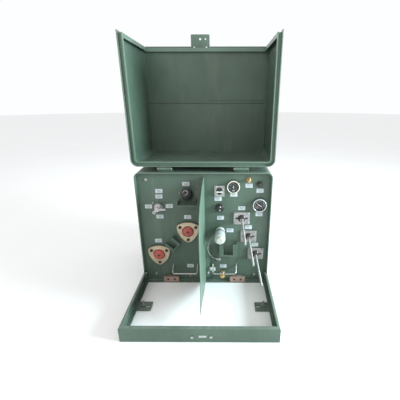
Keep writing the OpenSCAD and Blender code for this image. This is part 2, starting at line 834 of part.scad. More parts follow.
rim_w = 28;
hem_w = 5;
module hood_edge_channels() color(green) {
    hood_band(hood_t, hem_w, hood_y, hood_y + 8, hood_top);
    hood_band(hood_t, rim_w, hood_y + 18, hood_y + 20.5, flange_z);
    hood_band(rim_w - hem_w, rim_w, hood_y + 3, hood_y + 18, flange_z);
    edge = hood_back - hood_t;
    difference() {
        block([-hood_half + hood_t, hood_y + 20.5, flange_z - 2.5], [hood_half - hood_t, edge, flange_z]);
        block([-hood_half + 24.5, hood_y, flange_z - 5], [hood_half - 24.5, edge - 22, flange_z + 2]);
    }
    difference() {
        block([-hood_half + 24.5, hood_y + 20.5, flange_z - 22], [hood_half - 24.5, edge - 22, flange_z]);
        block([-hood_half + 27, hood_y, flange_z - 25], [hood_half - 27, edge - 24.5, flange_z + 2]);
    }
}

module hasp() color(green) {
    difference() {
        along_y(hood_back + 1, hood_back + 5) translate([lock_x[0], 0]) union() {
            translate([-61, 1440]) square([122, 103]);
            translate([-55, 1440]) square([110, 109]);
            for (s = [-1, 1]) translate([s * 55, 1543]) circle(6);
        }
        bar_y([lock_x[0], 2 * hinge_z - lock_z], 7, hood_back, hood_back + 6);
        bar_y([-3, 2 * hinge_z - lock_z], 5, hood_back, hood_back + 6);
    }
    for (x = rivet_x) {
        bar_y([x, rivet_z], 3, hood_back - hood_t - 1, hood_back + 1);
        bar_y([x, rivet_z], 5, hood_back - hood_t - 2, hood_back - hood_t);
    }
}

module lock_bolt() color(steel) {
    bar_y([lock_x[0], lock_z], 6, sill_y - 1, sill_y + 18);
    bar_y([lock_x[0], lock_z], 8, sill_y - 5, sill_y - 0.2);
}

tank_shell();
base_plate();
faceplate();
front_rim();
handhole_cover();
handhole_gasket();
cover_bolts();
lifting_lugs();
hood_bumpers();
sill_frame();
hold_down_cleats();
barrier();
hinge_tank_leaves();
hinge_pins();
bushing_wells();
well_clamps();
face_fasteners();
hv_parking_stand();
lv_parking_bracket();
drip_tray();
fuse_housing();
switch_gland();
internal_switchgear();
level_gauge_case();
temp_gauge_case();
gauge_lenses();
relief_valve_body();
drain_valve_body();
voltage_switch_plate();
lv_bushing_flanges();
lv_insulators();
lv_studs();
neutral_bushing();
ground_strap();
ground_pads();
ground_rods();
ground_clamp();
labels();
core();
core_clamps();
hv_coil();
lv_coil();
internal_leads();
dust_cap_left();
dust_cap_right();
fuse_holder();
switch_handle();
level_pointer();
float_arm();
temp_pointer();
relief_ring();
drain_valve_cap();
fill_plug();
voltage_knob();
tap_knob();
hood_shell();
hood_edge_channels();
hasp();
hood_hinge_leaves();
lock_bolt();
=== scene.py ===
import json
import math

import bmesh
import bpy
from mathutils import Matrix, Vector


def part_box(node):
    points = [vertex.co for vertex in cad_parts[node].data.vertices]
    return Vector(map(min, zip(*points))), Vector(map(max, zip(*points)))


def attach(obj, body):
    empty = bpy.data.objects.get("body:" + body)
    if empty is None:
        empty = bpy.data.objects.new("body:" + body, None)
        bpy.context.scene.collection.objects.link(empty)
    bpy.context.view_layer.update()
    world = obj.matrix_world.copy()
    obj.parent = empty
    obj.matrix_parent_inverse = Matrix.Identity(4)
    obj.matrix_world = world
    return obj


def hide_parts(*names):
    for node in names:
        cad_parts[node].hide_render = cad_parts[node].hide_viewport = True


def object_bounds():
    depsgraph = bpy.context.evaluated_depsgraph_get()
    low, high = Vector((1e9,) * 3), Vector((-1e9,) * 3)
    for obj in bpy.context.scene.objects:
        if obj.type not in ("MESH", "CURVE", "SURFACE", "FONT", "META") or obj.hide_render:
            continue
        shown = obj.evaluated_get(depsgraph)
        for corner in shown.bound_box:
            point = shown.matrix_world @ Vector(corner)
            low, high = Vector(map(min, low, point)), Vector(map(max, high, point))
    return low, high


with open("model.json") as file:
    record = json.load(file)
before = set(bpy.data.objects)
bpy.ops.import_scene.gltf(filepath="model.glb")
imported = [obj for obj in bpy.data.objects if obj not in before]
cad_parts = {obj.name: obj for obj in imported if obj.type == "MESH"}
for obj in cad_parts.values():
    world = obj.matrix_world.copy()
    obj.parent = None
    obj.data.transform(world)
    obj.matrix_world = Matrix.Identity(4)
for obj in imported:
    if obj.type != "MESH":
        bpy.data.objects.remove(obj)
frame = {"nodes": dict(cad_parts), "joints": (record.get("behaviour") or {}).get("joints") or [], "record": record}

# Single phase pad-mounted transformer, hood swung open over the tank.
# Metres, front faces -Y, every place is worked out from the CAD nodes' boxes.

cadLow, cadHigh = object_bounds()
nodes = frame["nodes"]
mm = 0.001
up = Vector((0, 0, 1))
front = Vector((0, -1, 0))

# ---- camera, lights and floor ----

cameraSetup = {
    "place": (0.126, -1.611, 1.163),
    "pitch": -19.98,   # degrees below level
    "turn": 0.38,
    "lens": 25.34,
    "shift": -0.0576,
}
lightSetup = {
    "key": {"place": (3.2, -0.95, 1.4), "size": 1.3, "power": 250, "colour": (0.76, 0.94, 1.0)},
    "fill": {"place": (-0.8, -3.2, 2.6), "size": 2.6, "power": 26, "colour": (1.0, 0.95, 0.88)},
    "back": {"place": (-0.6, 3.2, 3.0), "size": 2.4, "power": 20, "colour": (1.0, 1.0, 1.0)},
    "sky": (0.985, 0.99, 1.0),
    "skyStrength": 1.0,
}
floorSetup = {"radius": 24.0, "drop": 0.4 * mm, "colour": (0.86, 0.865, 0.86)}


def makeCamera(setup):
    data = bpy.data.cameras.new("camera")
    cam = bpy.data.objects.new("camera", data)
    bpy.context.scene.collection.objects.link(cam)
    data.sensor_width = 36
    data.lens = setup["lens"]
    data.shift_x = setup["shift"]
    turn = Matrix.Rotation(math.radians(setup["turn"]), 4, "Z")
    tip = Matrix.Rotation(math.radians(90 + setup["pitch"]), 4, "X")
    cam.matrix_world = Matrix.Translation(setup["place"]) @ turn @ tip
    bpy.context.scene.camera = cam


def makeLight(name, setup):
    data = bpy.data.lights.new(name, "AREA")
    data.shape = "DISK"
    data.size = setup["size"]
    data.energy = setup["power"]
    data.color = setup["colour"]
    lamp = bpy.data.objects.new(name, data)
    bpy.context.scene.collection.objects.link(lamp)
    lamp.location = setup["place"]
    aim = Vector((0, -0.1, 0.7)) - Vector(setup["place"])
    lamp.rotation_euler = aim.to_track_quat("-Z", "Y").to_euler()


makeCamera(cameraSetup)
for lampName in ("key", "fill", "back"):
    makeLight(lampName, lightSetup[lampName])
bpy.context.scene.view_settings.view_transform = "Standard"
world = bpy.data.worlds.new("studio")
bpy.context.scene.world = world
world.use_nodes = True
world.node_tree.nodes["Background"].inputs["Color"].default_value = (*lightSetup["sky"], 1)
world.node_tree.nodes["Background"].inputs["Strength"].default_value = lightSetup["skyStrength"]
print("stage: camera and lights")

# ---- material helpers ----


class Graph:
    # Small wrapper that adds nodes to a material and joins them up
    def __init__(self, name):
        self.material = bpy.data.materials.new(name)
        self.material.use_nodes = True
        self.nodes = self.material.node_tree.nodes
        self.links = self.material.node_tree.links
        self.shader = self.nodes["Principled BSDF"]
        self.place = self.nodes.new("ShaderNodeTexCoord").outputs["Object"]

    def add(self, kind, inputs=None, **settings):
        node = self.nodes.new(kind)
        for key, value in settings.items():
            setattr(node, key, value)
        for key, value in (inputs or {}).items():
            self.feed(node.inputs[key], value)
        return node

    def feed(self, socket, value):
        if isinstance(value, bpy.types.NodeSocket):
            self.links.new(value, socket)
        else:
            socket.default_value = value

    def noise(self, scale, detail=3.0, rough=0.55, place=None):
        node = self.add("ShaderNodeTexNoise", {"Scale": scale, "Detail": detail, "Roughness": rough})
        self.feed(node.inputs["Vector"], place or self.place)
        return node.outputs["Fac"]

    def stretch(self, factors):
        node = self.add("ShaderNodeMapping", {"Vector": self.place, "Scale": factors})
        return node.outputs["Vector"]

    def band(self, value, low, high, out=(0.0, 1.0)):
        node = self.add("ShaderNodeMapRange", {"Value": value, "From Min": low, "From Max": high,
                                               "To Min": out[0], "To Max": out[1]})
        return node.outputs["Result"]

    def mix(self, amount, first, second):
        node = self.add("ShaderNodeMix", data_type="RGBA")
        self.feed(node.inputs["Factor"], amount)
        self.feed(node.inputs[6], first)
        self.feed(node.inputs[7], second)
        return node.outputs[2]

    def maths(self, how, first, second=None):
        node = self.add("ShaderNodeMath", operation=how)
        self.feed(node.inputs[0], first)
        if second is not None:
            self.feed(node.inputs[1], second)
        return node.outputs[0]

    def edges(self, width):
        # 1 along sharp edges and 0 on flat faces
        rounded = self.add("ShaderNodeBevel", {"Radius": width}, samples=4).outputs["Normal"]
        flat = self.add("ShaderNodeNewGeometry").outputs["Normal"]
        same = self.add("ShaderNodeVectorMath", {0: rounded, 1: flat}, operation="DOT_PRODUCT")
        return self.band(same.outputs["Value"], 0.995, 0.86)

    def facingUp(self):
        normal = self.add("ShaderNodeNewGeometry").outputs["Normal"]
        split = self.add("ShaderNodeSeparateXYZ", {"Vector": normal})
        return self.band(split.outputs["Z"], 0.35, 0.95)

    def bump(self, height, strength, distance, normal=None):
        node = self.add("ShaderNodeBump", {"Height": height, "Strength": strength, "Distance": distance})
        if normal is not None:
            self.feed(node.inputs["Normal"], normal)
        return node.outputs["Normal"]

    def finish(self, colour, rough, normal, **constants):
        self.feed(self.shader.inputs["Base Color"], colour)
        self.feed(self.shader.inputs["Roughness"], rough)
        self.feed(self.shader.inputs["Normal"], normal)
        for key, value in constants.items():
            self.shader.inputs[key.replace("_", " ")].default_value = value
        return self.material


def shade(colour, factor):
    return tuple(min(1.0, c * factor) for c in colour) + (1.0,)


# ---- materials ----

paintSetup = {
    "colour": (0.068, 0.110, 0.081),
    "dust": (0.33, 0.36, 0.33),
    "wear": (0.20, 0.245, 0.22),
    "peelSize": 620,    # orange peel cells per metre
    "edgeWidth": 1.3 * mm,
}


def paintedSteel(name, setup, tone=1.0, dusty=0.16, wornEdges=0.45):
    g = Graph(name)
    colour = [c * tone for c in setup["colour"]]
    cloud = g.band(g.noise(3.2, 4.0), 0.32, 0.7)
    base = g.mix(cloud, shade(colour, 0.90), shade(colour, 1.13))
    streak = g.band(g.noise(9.0, 6.0, 0.7, g.stretch((1.0, 1.0, 0.16))), 0.52, 0.78)
    base = g.mix(g.maths("MULTIPLY", streak, 0.22), base, shade(setup["dust"], 0.75))
    dust = g.maths("MULTIPLY", g.facingUp(), g.band(g.noise(26.0, 5.0, 0.65), 0.3, 0.72))
    dust = g.maths("ADD", g.maths("MULTIPLY", dust, dusty * 1.6), g.maths("MULTIPLY", cloud, dusty * 0.25))
    base = g.mix(dust, base, shade(setup["dust"], 1.0))
    specks = g.band(g.noise(240.0, 2.0), 0.70, 0.76)
    base = g.mix(g.maths("MULTIPLY", specks, 0.35), base, shade(setup["dust"], 1.2))
    edge = g.maths("MULTIPLY", g.edges(setup["edgeWidth"]), g.band(g.noise(55.0, 4.0), 0.38, 0.62))
    base = g.mix(g.maths("MULTIPLY", edge, wornEdges), base, shade(setup["wear"], 1.0))
    rough = g.band(g.noise(14.0, 4.0), 0.25, 0.75, (0.34, 0.50))
    rough = g.maths("ADD", rough, g.maths("MULTIPLY", dust, 0.5))
    rounded = g.add("ShaderNodeBevel", {"Radius": setup["edgeWidth"]}, samples=4).outputs["Normal"]
    peel = g.bump(g.noise(setup["peelSize"], 2.0), 0.12, 0.4 * mm, rounded)
    waves = g.bump(g.noise(11.0, 2.0), 0.05, 4 * mm, peel)
    return g.finish(base, rough, waves, Specular_IOR_Level=0.42)


def bareMetal(name, colour, tarnish, rough=(0.28, 0.48), grain=(1, 1, 1), metallic=1.0, edge=1.3,
              spots=0.5):
    g = Graph(name)
    cloud = g.band(g.noise(38.0, 5.0, 0.6), 0.34, 0.68)
    base = g.mix(cloud, shade(colour, 0.86), shade(colour, 1.08))
    stain = g.band(g.noise(90.0, 6.0, 0.7), 0.52, 0.74)
    base = g.mix(g.maths("MULTIPLY", stain, spots), base, shade(tarnish, 1.0))
    # painted highlight: edges lighter in the same colour, by the edge factor
    base = g.mix(g.maths("MULTIPLY", g.edges(0.7 * mm), 0.45), base, shade(colour, edge))
    brushed = g.noise(420.0, 3.0, 0.6, g.stretch(grain))
    roughness = g.band(g.maths("ADD", g.maths("MULTIPLY", brushed, 0.5), g.maths("MULTIPLY", cloud, 0.5)),
                       0.2, 0.8, rough)
    rounded = g.add("ShaderNodeBevel", {"Radius": 0.5 * mm}, samples=4).outputs["Normal"]
    return g.finish(base, roughness, g.bump(brushed, 0.10, 0.3 * mm, rounded), Metallic=metallic)


def mouldedPlastic(name, colour, rough=(0.38, 0.52), dusty=0.18, grainSize=900, coat=0.0, sheen=0.0):
    g = Graph(name)
    cloud = g.band(g.noise(22.0, 4.0), 0.3, 0.7)
    base = g.mix(cloud, shade(colour, 0.88), shade(colour, 1.14))
    film = g.maths("MULTIPLY", g.band(g.noise(64.0, 6.0, 0.7), 0.42, 0.8), dusty)
    base = g.mix(film, base, (0.46, 0.45, 0.42, 1.0))
    # painted highlight: edges lighter in the same colour
    base = g.mix(g.maths("MULTIPLY", g.edges(0.7 * mm), 0.22), base, shade(colour, 1.9))
    blotch = g.band(g.noise(75.0, 4.0), 0.25, 0.75, rough)
    roughness = g.maths("ADD", blotch, g.maths("MULTIPLY", film, 0.5))
    rounded = g.add("ShaderNodeBevel", {"Radius": 0.5 * mm}, samples=4).outputs["Normal"]
    grain = g.bump(g.noise(grainSize, 2.0), 0.09, 0.25 * mm, rounded)
    return g.finish(base, roughness, grain, Coat_Weight=coat, Coat_Roughness=0.12, Sheen_Weight=sheen)


def labelPlate(name):
    g = Graph(name)
    base = g.mix(g.band(g.noise(34.0, 5.0), 0.35, 0.7), (0.47, 0.51, 0.53, 1), (0.58, 0.62, 0.63, 1))
    grime = g.band(g.noise(150.0, 5.0, 0.7), 0.58, 0.76)
    base = g.mix(g.maths("MULTIPLY", grime, 0.35), base, (0.38, 0.40, 0.36, 1))
    base = g.mix(g.maths("MULTIPLY", g.edges(1.6 * mm), 0.4), base, (0.42, 0.44, 0.42, 1))
    rough = g.band(g.noise(60.0, 3.0), 0.3, 0.7, (0.35, 0.55))
    return g.finish(base, rough, g.bump(g.noise(500.0, 2.0), 0.06, 0.2 * mm))


def clearGlass(name):
    g = Graph(name)
    smear = g.noise(40.0, 4.0)
    rough = g.band(smear, 0.35, 0.75, (0.01, 0.07))
    tint = g.mix(g.band(smear, 0.3, 0.8), (0.97, 0.99, 0.99, 1), (0.90, 0.94, 0.93, 1))
    return g.finish(tint, rough, g.bump(smear, 0.02, 0.2 * mm), Transmission_Weight=1.0, IOR=1.3)


def laminated(name, colour, dark, pitch, along, metallic):
    g = Graph(name)
    wave = g.add("ShaderNodeTexWave", {"Vector": g.place, "Scale": pitch, "Distortion": 0.6, "Detail": 2.0},
                 wave_type="BANDS", bands_direction=along)
    layers = wave.outputs["Fac"]
    base = g.mix(layers, shade(dark, 1.0), shade(colour, 1.0))
    base = g.mix(g.maths("MULTIPLY", g.band(g.noise(30.0, 5.0), 0.4, 0.75), 0.4), base, shade(dark, 0.8))
    rough = g.band(g.noise(50.0, 3.0), 0.3, 0.7, (0.35, 0.6))
    return g.finish(base, rough, g.bump(layers, 0.5, 0.6 * mm), Metallic=metallic)


def braidedCopper(name, colour):
    g = Graph(name)
    cross = g.add("ShaderNodeTexWave", {"Vector": g.stretch((1, 1, 1)), "Scale": 170.0, "Distortion": 2.0},
                  wave_type="BANDS", bands_direction="DIAGONAL").outputs["Fac"]
    other = g.add("ShaderNodeTexWave", {"Vector": g.stretch((-1, 1, 1)), "Scale": 170.0, "Distortion": 2.0},
                  wave_type="BANDS", bands_direction="DIAGONAL").outputs["Fac"]
    weave = g.maths("MAXIMUM", cross, other)
    # painted shade: darker in the grooves between the woven wires
    base = g.mix(weave, shade(colour, 0.35), shade(colour, 1.1))
    base = g.mix(g.band(g.noise(60.0, 5.0), 0.45, 0.75), base, (0.20, 0.19, 0.15, 1))
    rough = g.band(g.noise(90.0, 3.0), 0.3, 0.7, (0.35, 0.6))
    return g.finish(base, rough, g.bump(weave, 0.8, 0.5 * mm), Metallic=0.85)


casingPaint = paintedSteel("casingPaint", paintSetup)
hoodPaint = paintedSteel("hoodPaint", paintSetup, tone=1.0, dusty=0.10, wornEdges=0.5)
# painted shade: a darker copy of the same green paint on the recessed faceplate
panelPaintedShade = paintedSteel("panelPaintedShade", paintSetup, tone=0.93, dusty=0.12, wornEdges=0.35)
# painted light: a lighter copy of the same green paint stands for strong light falling on the barrier
barrierPaintedLight = paintedSteel("barrierPaintedLight", paintSetup, tone=1.6, dusty=0.22, wornEdges=0.7)
# painted highlight: a lighter copy of the same green paint on the front rim and the hood's edge channels
edgePaintedHighlight = paintedSteel("edgePaintedHighlight", paintSetup, tone=1.45, dusty=0.14, wornEdges=0.6)
weldPaint = paintedSteel("weldPaint", paintSetup, tone=1.06, dusty=0.24, wornEdges=0.3)
plainSteel = bareMetal("plainSteel", (0.46, 0.46, 0.44), (0.18, 0.16, 0.13), grain=(1, 0.1, 1))
tinned = bareMetal("tinnedMetal", (0.40, 0.395, 0.385), (0.20, 0.19, 0.19), (0.3, 0.55), metallic=0.8,
                   spots=0.3)
padTin = bareMetal("tinnedCopper", (0.38, 0.26, 0.22), (0.22, 0.13, 0.09), (0.4, 0.6), metallic=0.45,
                   spots=0.4)
paleCast = bareMetal("paleCastMetal", (0.74, 0.74, 0.72), (0.42, 0.42, 0.4), (0.45, 0.65), metallic=0.35)
# the yellow zinc clamp plates get a stronger painted edge highlight
clampZinc = bareMetal("yellowZinc", (0.56, 0.45, 0.32), (0.34, 0.22, 0.11), (0.36, 0.56), metallic=0.55,
                      edge=1.6, spots=0.5)
copperMetal = bareMetal("agedCopper", (0.56, 0.30, 0.20), (0.20, 0.12, 0.08), (0.32, 0.55), spots=0.5)
brassMetal = bareMetal("castBrass", (0.60, 0.50, 0.31), (0.26, 0.20, 0.10), (0.3, 0.5), metallic=0.9)
blackRubber = mouldedPlastic("blackRubber", (0.018, 0.018, 0.019), (0.6, 0.78), 0.10, 500, sheen=0.15)
blackPlastic = mouldedPlastic("blackPlastic", (0.013, 0.013, 0.014), (0.34, 0.52), 0.05)
redRubber = mouldedPlastic("redRubber", (0.37, 0.052, 0.036), (0.42, 0.6), 0.30, 700, sheen=0.12)
epoxyResin = mouldedPlastic("brownResin", (0.030, 0.018, 0.016), (0.2, 0.36), 0.06, coat=0.4)
porcelain = mouldedPlastic("greyPorcelain", (0.50, 0.56, 0.55), (0.10, 0.24), 0.14, 260, coat=0.7)
whiteEnamel = mouldedPlastic("whiteEnamel", (0.76, 0.78, 0.77), (0.3, 0.45), 0.16)
dialBlack = mouldedPlastic("dialBlack", (0.016, 0.017, 0.018), (0.45, 0.6), 0.05)
darkSteel = bareMetal("darkenedSteel", (0.10, 0.09, 0.085), (0.05, 0.035, 0.025), (0.4, 0.6), spots=0.5)
brightMetal = bareMetal("brightSteel", (0.78, 0.77, 0.76), (0.40, 0.38, 0.36), (0.2, 0.36), metallic=0.85,
                        spots=0.2)
bezelMetal = bareMetal("bezelAluminium", (0.80, 0.81, 0.80), (0.55, 0.54, 0.48), (0.22, 0.38), metallic=0.5,
                       spots=0.2)
bezelWarm = bareMetal("bezelYellowed", (0.84, 0.81, 0.68), (0.58, 0.50, 0.32), (0.22, 0.38), metallic=0.5,
                      spots=0.3)
studZinc = bareMetal("studZinc", (0.33, 0.33, 0.325), (0.20, 0.20, 0.20), (0.32, 0.52), metallic=0.7,
                     spots=0.3)
switchCast = bareMetal("switchCasting", (0.50, 0.48, 0.50), (0.28, 0.22, 0.21), (0.34, 0.55), metallic=0.5,
                       spots=0.3)
orangeBrass = bareMetal("polishedBrass", (0.66, 0.42, 0.17), (0.36, 0.22, 0.09), (0.22, 0.4), metallic=0.8,
                        spots=0.3)
bandBrown = bareMetal("bandStrap", (0.16, 0.09, 0.085), (0.07, 0.04, 0.04), (0.35, 0.5), metallic=0.6,
                      spots=0.3)
darkResin = mouldedPlastic("darkResin", (0.016, 0.013, 0.013), (0.25, 0.4), 0.05, coat=0.3)
creamEnamel = mouldedPlastic("creamEnamel", (0.54, 0.54, 0.49), (0.3, 0.45), 0.12)
zoneRed = mouldedPlastic("zoneRed", (0.42, 0.10, 0.10), (0.4, 0.5), 0.1)
labelInk = mouldedPlastic("labelInk", (0.20, 0.23, 0.27), (0.4, 0.55), 0.1)
# painted shadow: a dark finish for strips that stand for the shade line at the hood's fold
foldShadowPaint = mouldedPlastic("foldShadowPaint", (0.030, 0.042, 0.040), (0.5, 0.66), 0.12)
labelStock = labelPlate("labelStock")
lensGlass = clearGlass("lensGlass")
coreIron = laminated("coreLamination", (0.34, 0.35, 0.37), (0.14, 0.14, 0.15), 320.0, "Y", 0.8)
coilPaper = laminated("windingPaper", (0.36, 0.24, 0.13), (0.16, 0.09, 0.05), 110.0, "Z", 0.0)
coilCopper = laminated("windingCopper", (0.50, 0.26, 0.16), (0.22, 0.11, 0.07), 160.0, "Z", 0.8)
braid = braidedCopper("strapBraid", (0.44, 0.42, 0.40))

nodeFinish = {
    casingPaint: "tank_shell base_plate handhole_cover lifting_lugs sill_frame hold_down_cleats"
                 " hinge_tank_leaves hv_parking_stand lv_parking_bracket drip_tray",
    hoodPaint: "hood_shell hasp hood_hinge_leaves",
    edgePaintedHighlight: "hood_edge_channels front_rim",
    panelPaintedShade: "faceplate",
    barrierPaintedLight: "barrier",
    plainSteel: "cover_bolts hinge_pins face_fasteners lock_bolt switch_gland switch_handle"
                " voltage_switch_plate ground_rods relief_ring core_clamps",
    tinned: "lv_bushing_flanges lv_studs",
    paleCast: "ground_clamp",
    whiteEnamel: "level_pointer temp_pointer",
    clampZinc: "well_clamps",
    copperMetal: "ground_strap internal_leads",
    padTin: "ground_pads",
    brassMetal: "relief_valve_body drain_valve_body drain_valve_cap float_arm",
    blackRubber: "handhole_gasket hood_bumpers",
    blackPlastic: "level_gauge_case temp_gauge_case fuse_housing fuse_holder voltage_knob tap_knob"
                  " fill_plug",
    redRubber: "dust_cap_left dust_cap_right",
    epoxyResin: "bushing_wells lv_insulators internal_switchgear",
    porcelain: "neutral_bushing",
    labelStock: "labels",
    lensGlass: "gauge_lenses",
    coreIron: "core",
    coilPaper: "hv_coil",
    coilCopper: "lv_coil",
}
for finish, names in nodeFinish.items():
    for nodeName in names.split():
        mesh = nodes[nodeName].data
        mesh.materials.clear()
        mesh.materials.append(finish)
print("stage: materials")

# ---- mesh helpers, all in millimetres in the piece's own frame ----

jointPlace = {joint["name"]: Vector(joint["pos_m"]) for joint in frame["joints"] if "pos_m" in joint}
jointAxis = {joint["name"]: Vector(joint["axis"]) for joint in frame["joints"]}


def centreOf(nodeName):
    low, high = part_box(nodeName)
    return (low + high) / 2


def solidsOf(nodeName):
    # box of each separate solid in a CAD node, from the left and from the bottom
    bm = bmesh.new()
    bm.from_mesh(nodes[nodeName].data)
    bmesh.ops.remove_doubles(bm, verts=bm.verts, dist=0.01 * mm)
    bm.verts.ensure_lookup_table()
    bm.verts.index_update()
    seen = set()
    boxes = []
    for first in range(len(bm.verts)):
        if first in seen:
            continue
        seen.add(first)
        waiting = [first]
        places = []
        while waiting:
            vert = bm.verts[waiting.pop()]
            places.append(vert.co.copy())
            for edge in vert.link_edges:
                other = edge.other_vert(vert).index
                if other not in seen:
                    seen.add(other)
                    waiting.append(other)
        low = Vector([min(p[k] for p in places) for k in range(3)])
        high = Vector([max(p[k] for p in places) for k in range(3)])
        boxes.append((low, high))
    bm.free()
    return sorted(boxes, key=lambda b: (round(b[0].x, 4), round(b[0].z, 4)))


def middlesOf(nodeName):
    # each separate solid of a node as its middle, and its box
    return [((low + high) / 2, low, high) for low, high in solidsOf(nodeName)]


def makePiece(name, bm, finish, body="tank", stands=(), sharp=32):
    bmesh.ops.recalc_face_normals(bm, faces=bm.faces)
    mesh = bpy.data.meshes.new(name)
    bm.to_mesh(mesh)
    bm.free()
    mesh.materials.append(finish)
    mesh.shade_smooth()
    mesh.set_sharp_from_angle(angle=math.radians(sharp))
    piece = bpy.data.objects.new(name, mesh)
    bpy.context.scene.collection.objects.link(piece)
    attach(piece, body)
    if stands:
        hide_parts(*stands)
    return piece


def aimed(place, along=front, turn=0.0):
    # local Z looks along a direction, and for the front local X is right and Y is up
    look = Vector(along).to_track_quat("Z", "Y").to_matrix().to_4x4()
    return Matrix.Translation(place) @ look @ Matrix.Rotation(math.radians(turn), 4, "Z")


def moved(matrix, x, y, z=0.0, turn=0.0):
    return matrix @ Matrix.Translation(Vector((x, y, z)) * mm) @ Matrix.Rotation(math.radians(turn), 4, "Z")


def plateFrame(nodeName):
    # a frame on the terminal plate, in front of a node's middle
    middle = centreOf(nodeName)
    return aimed(Vector((middle.x, 0, middle.z)))


def jointFrame(jointName):
    middle = jointPlace[jointName]
    return aimed(Vector((middle.x, 0, middle.z)))


def polar(radius, degrees):
    return radius * math.cos(math.radians(degrees)), radius * math.sin(math.radians(degrees))


def addRow(bm, matrix, points):
    return [bm.verts.new(matrix @ (Vector(p) * mm)) for p in points]


def joinRows(bm, rows, ring=False):
    pairs = list(zip(rows, rows[1:]))
    if ring:
        pairs.append((rows[-1], rows[0]))
    for first, second in pairs:
        count = max(len(first), len(second))
        for i in range(count):
            j = (i + 1) % count
            if len(first) == 1:
                bm.faces.new((first[0], second[j], second[i]))
            elif len(second) == 1:
                bm.faces.new((first[i], first[j], second[0]))
            else:
                bm.faces.new((first[i], first[j], second[j], second[i]))


def eased(points, radius, closed=False, steps=3):
    # the same outline with its corners rounded
    points = [Vector(p) for p in points]
    last = len(points)
    out = [] if closed else [points[0]]
    for i in range(last) if closed else range(1, last - 1):
        here = points[i]
        before = points[i - 1] - here
        after = points[(i + 1) % last] - here
        cut = min(radius, before.length * 0.45, after.length * 0.45)
        start = here + before.normalized() * cut
        end = here + after.normalized() * cut
        for k in range(steps + 1):
            t = k / steps
            out.append(start * (1 - t) ** 2 + here * 2 * t * (1 - t) + end * t * t)
    return out if closed else out + [points[-1]]


def circlePoints(radius, height, segments, flutes=0, depth=0.0):
    points = []
    for k in range(segments):
        angle = 360 * k / segments
        r = radius - depth * (0.5 - 0.5 * math.cos(math.radians(flutes * angle)))
        points.append((*polar(r, angle), height))
    return points


def lathe(bm, matrix, profile, soft=0.6, segments=56, ring=False, flutes=0, depth=0.0):
    # turns (radius, height) points about local Z, with flutes in the widest part
    widest = max(p[0] for p in profile)
    rows = []
    for radius, height in eased(profile, soft, ring):
        if radius < 0.01:
            rows.append(addRow(bm, matrix, [(0, 0, height)]))
        else:
            cut = depth if radius > 0.93 * widest else 0.0
            rows.append(addRow(bm, matrix, circlePoints(radius, height, segments, flutes, cut)))
    joinRows(bm, rows, ring)


def slab(bm, matrix, outline, low, high, soft=0.6):
    # flat plate with an eased front edge, from an outline that is convex
    middle = sum((Vector(p) for p in outline), Vector((0, 0))) / len(outline)
    rows = []
    for inset, height in ((0, low), (0, high - soft), (soft * 0.35, high - soft * 0.35), (soft, high)):
        points = []
        for p in outline:
            arm = Vector(p) - middle
            shrunk = middle + arm * (1 - inset / max(arm.length, 0.01))
            points.append((shrunk.x, shrunk.y, height))
        rows.append(addRow(bm, matrix, points))
    joinRows(bm, rows)
    bm.faces.new(rows[0])
    bm.faces.new(rows[-1])


def roundedBox(width, height, radius=1.5):
    w = width / 2
    h = height / 2
    return [tuple(p) for p in eased([(-w, -h), (w, -h), (w, h), (-w, h)], radius, True)]


def hexNut(bm, matrix, radius, thick, hole=0.0, base=0.0, samples=24):
    # hexagon with turned down corners, standing at a height on local Z
    flat = radius * math.cos(math.radians(30))
    turned = radius * 0.93

    def row(inner, height):
        points = []
        for k in range(samples):
            angle = 360 * k / samples
            reach = flat / math.cos(math.radians(angle % 60 - 30))
            slope = max(0.0, reach - turned) * 0.6 + 0.08
            r = min(reach, turned) - 0.1 if inner else reach
            z = height if inner else (height + slope if height == base else height - slope)
            points.append((*polar(r, angle), z))
        return addRow(bm, matrix, points)

    top = base + thick
    rows = [row(True, base), row(False, base), row(False, top), row(True, top)]
    if hole:
        for r, z in ((hole + 0.7, top), (hole, top - 0.7), (hole, base)):
            rows.append(addRow(bm, matrix, circlePoints(r, z, samples)))
        joinRows(bm, rows, True)
    else:
        rows.insert(0, addRow(bm, matrix, [(0, 0, base)]))
        rows.append(addRow(bm, matrix, [(0, 0, top)]))
        joinRows(bm, rows)


def threadedRod(bm, matrix, radius, low, high, pitch, sides=20):
    count = max(4, int((high - low) / (pitch / 4)))
    rows = [addRow(bm, matrix, [(0, 0, low)])]
    for i in range(count + 1):
        z = low + (high - low) * i / count
        points = []
        for k in range(sides):
            turn = k / sides
            ridge = abs(2 * ((z / pitch - turn) % 1) - 1)
            r = min(radius - 0.5 * pitch * ridge, radius - 1.1 * pitch + min(high - z, z - low) * 0.8)
            points.append((*polar(r, 360 * turn), z))
        rows.append(addRow(bm, matrix, points))
    rows.append(addRow(bm, matrix, [(0, 0, high)]))
    joinRows(bm, rows)


def washer(bm, matrix, hole, radius, low, high):
    lathe(bm, matrix, [(hole, low), (radius, low), (radius, high), (hole, high)], 0.3, 28, True)


def smoothPath(points, perSpan=8):
    points = [Vector(p) for p in points]
    full = [points[0]] + points + [points[-1]]
    path = []
    for a, b, c, d in zip(full, full[1:], full[2:], full[3:]):
        for k in range(perSpan):
            t = k / perSpan
            path.append(0.5 * (2 * b + (c - a) * t + (2 * a - 5 * b + 4 * c - d) * t * t
                               + (3 * b - a - 3 * c + d) * t ** 3))
    return path + [points[-1]]


def evenPath(points, step):
    path = []
    for a, b in zip(points, points[1:]):
        count = max(1, round((Vector(b) - Vector(a)).length / step))
        path += [Vector(a).lerp(Vector(b), k / count) for k in range(count)]
    return path + [Vector(points[-1])]


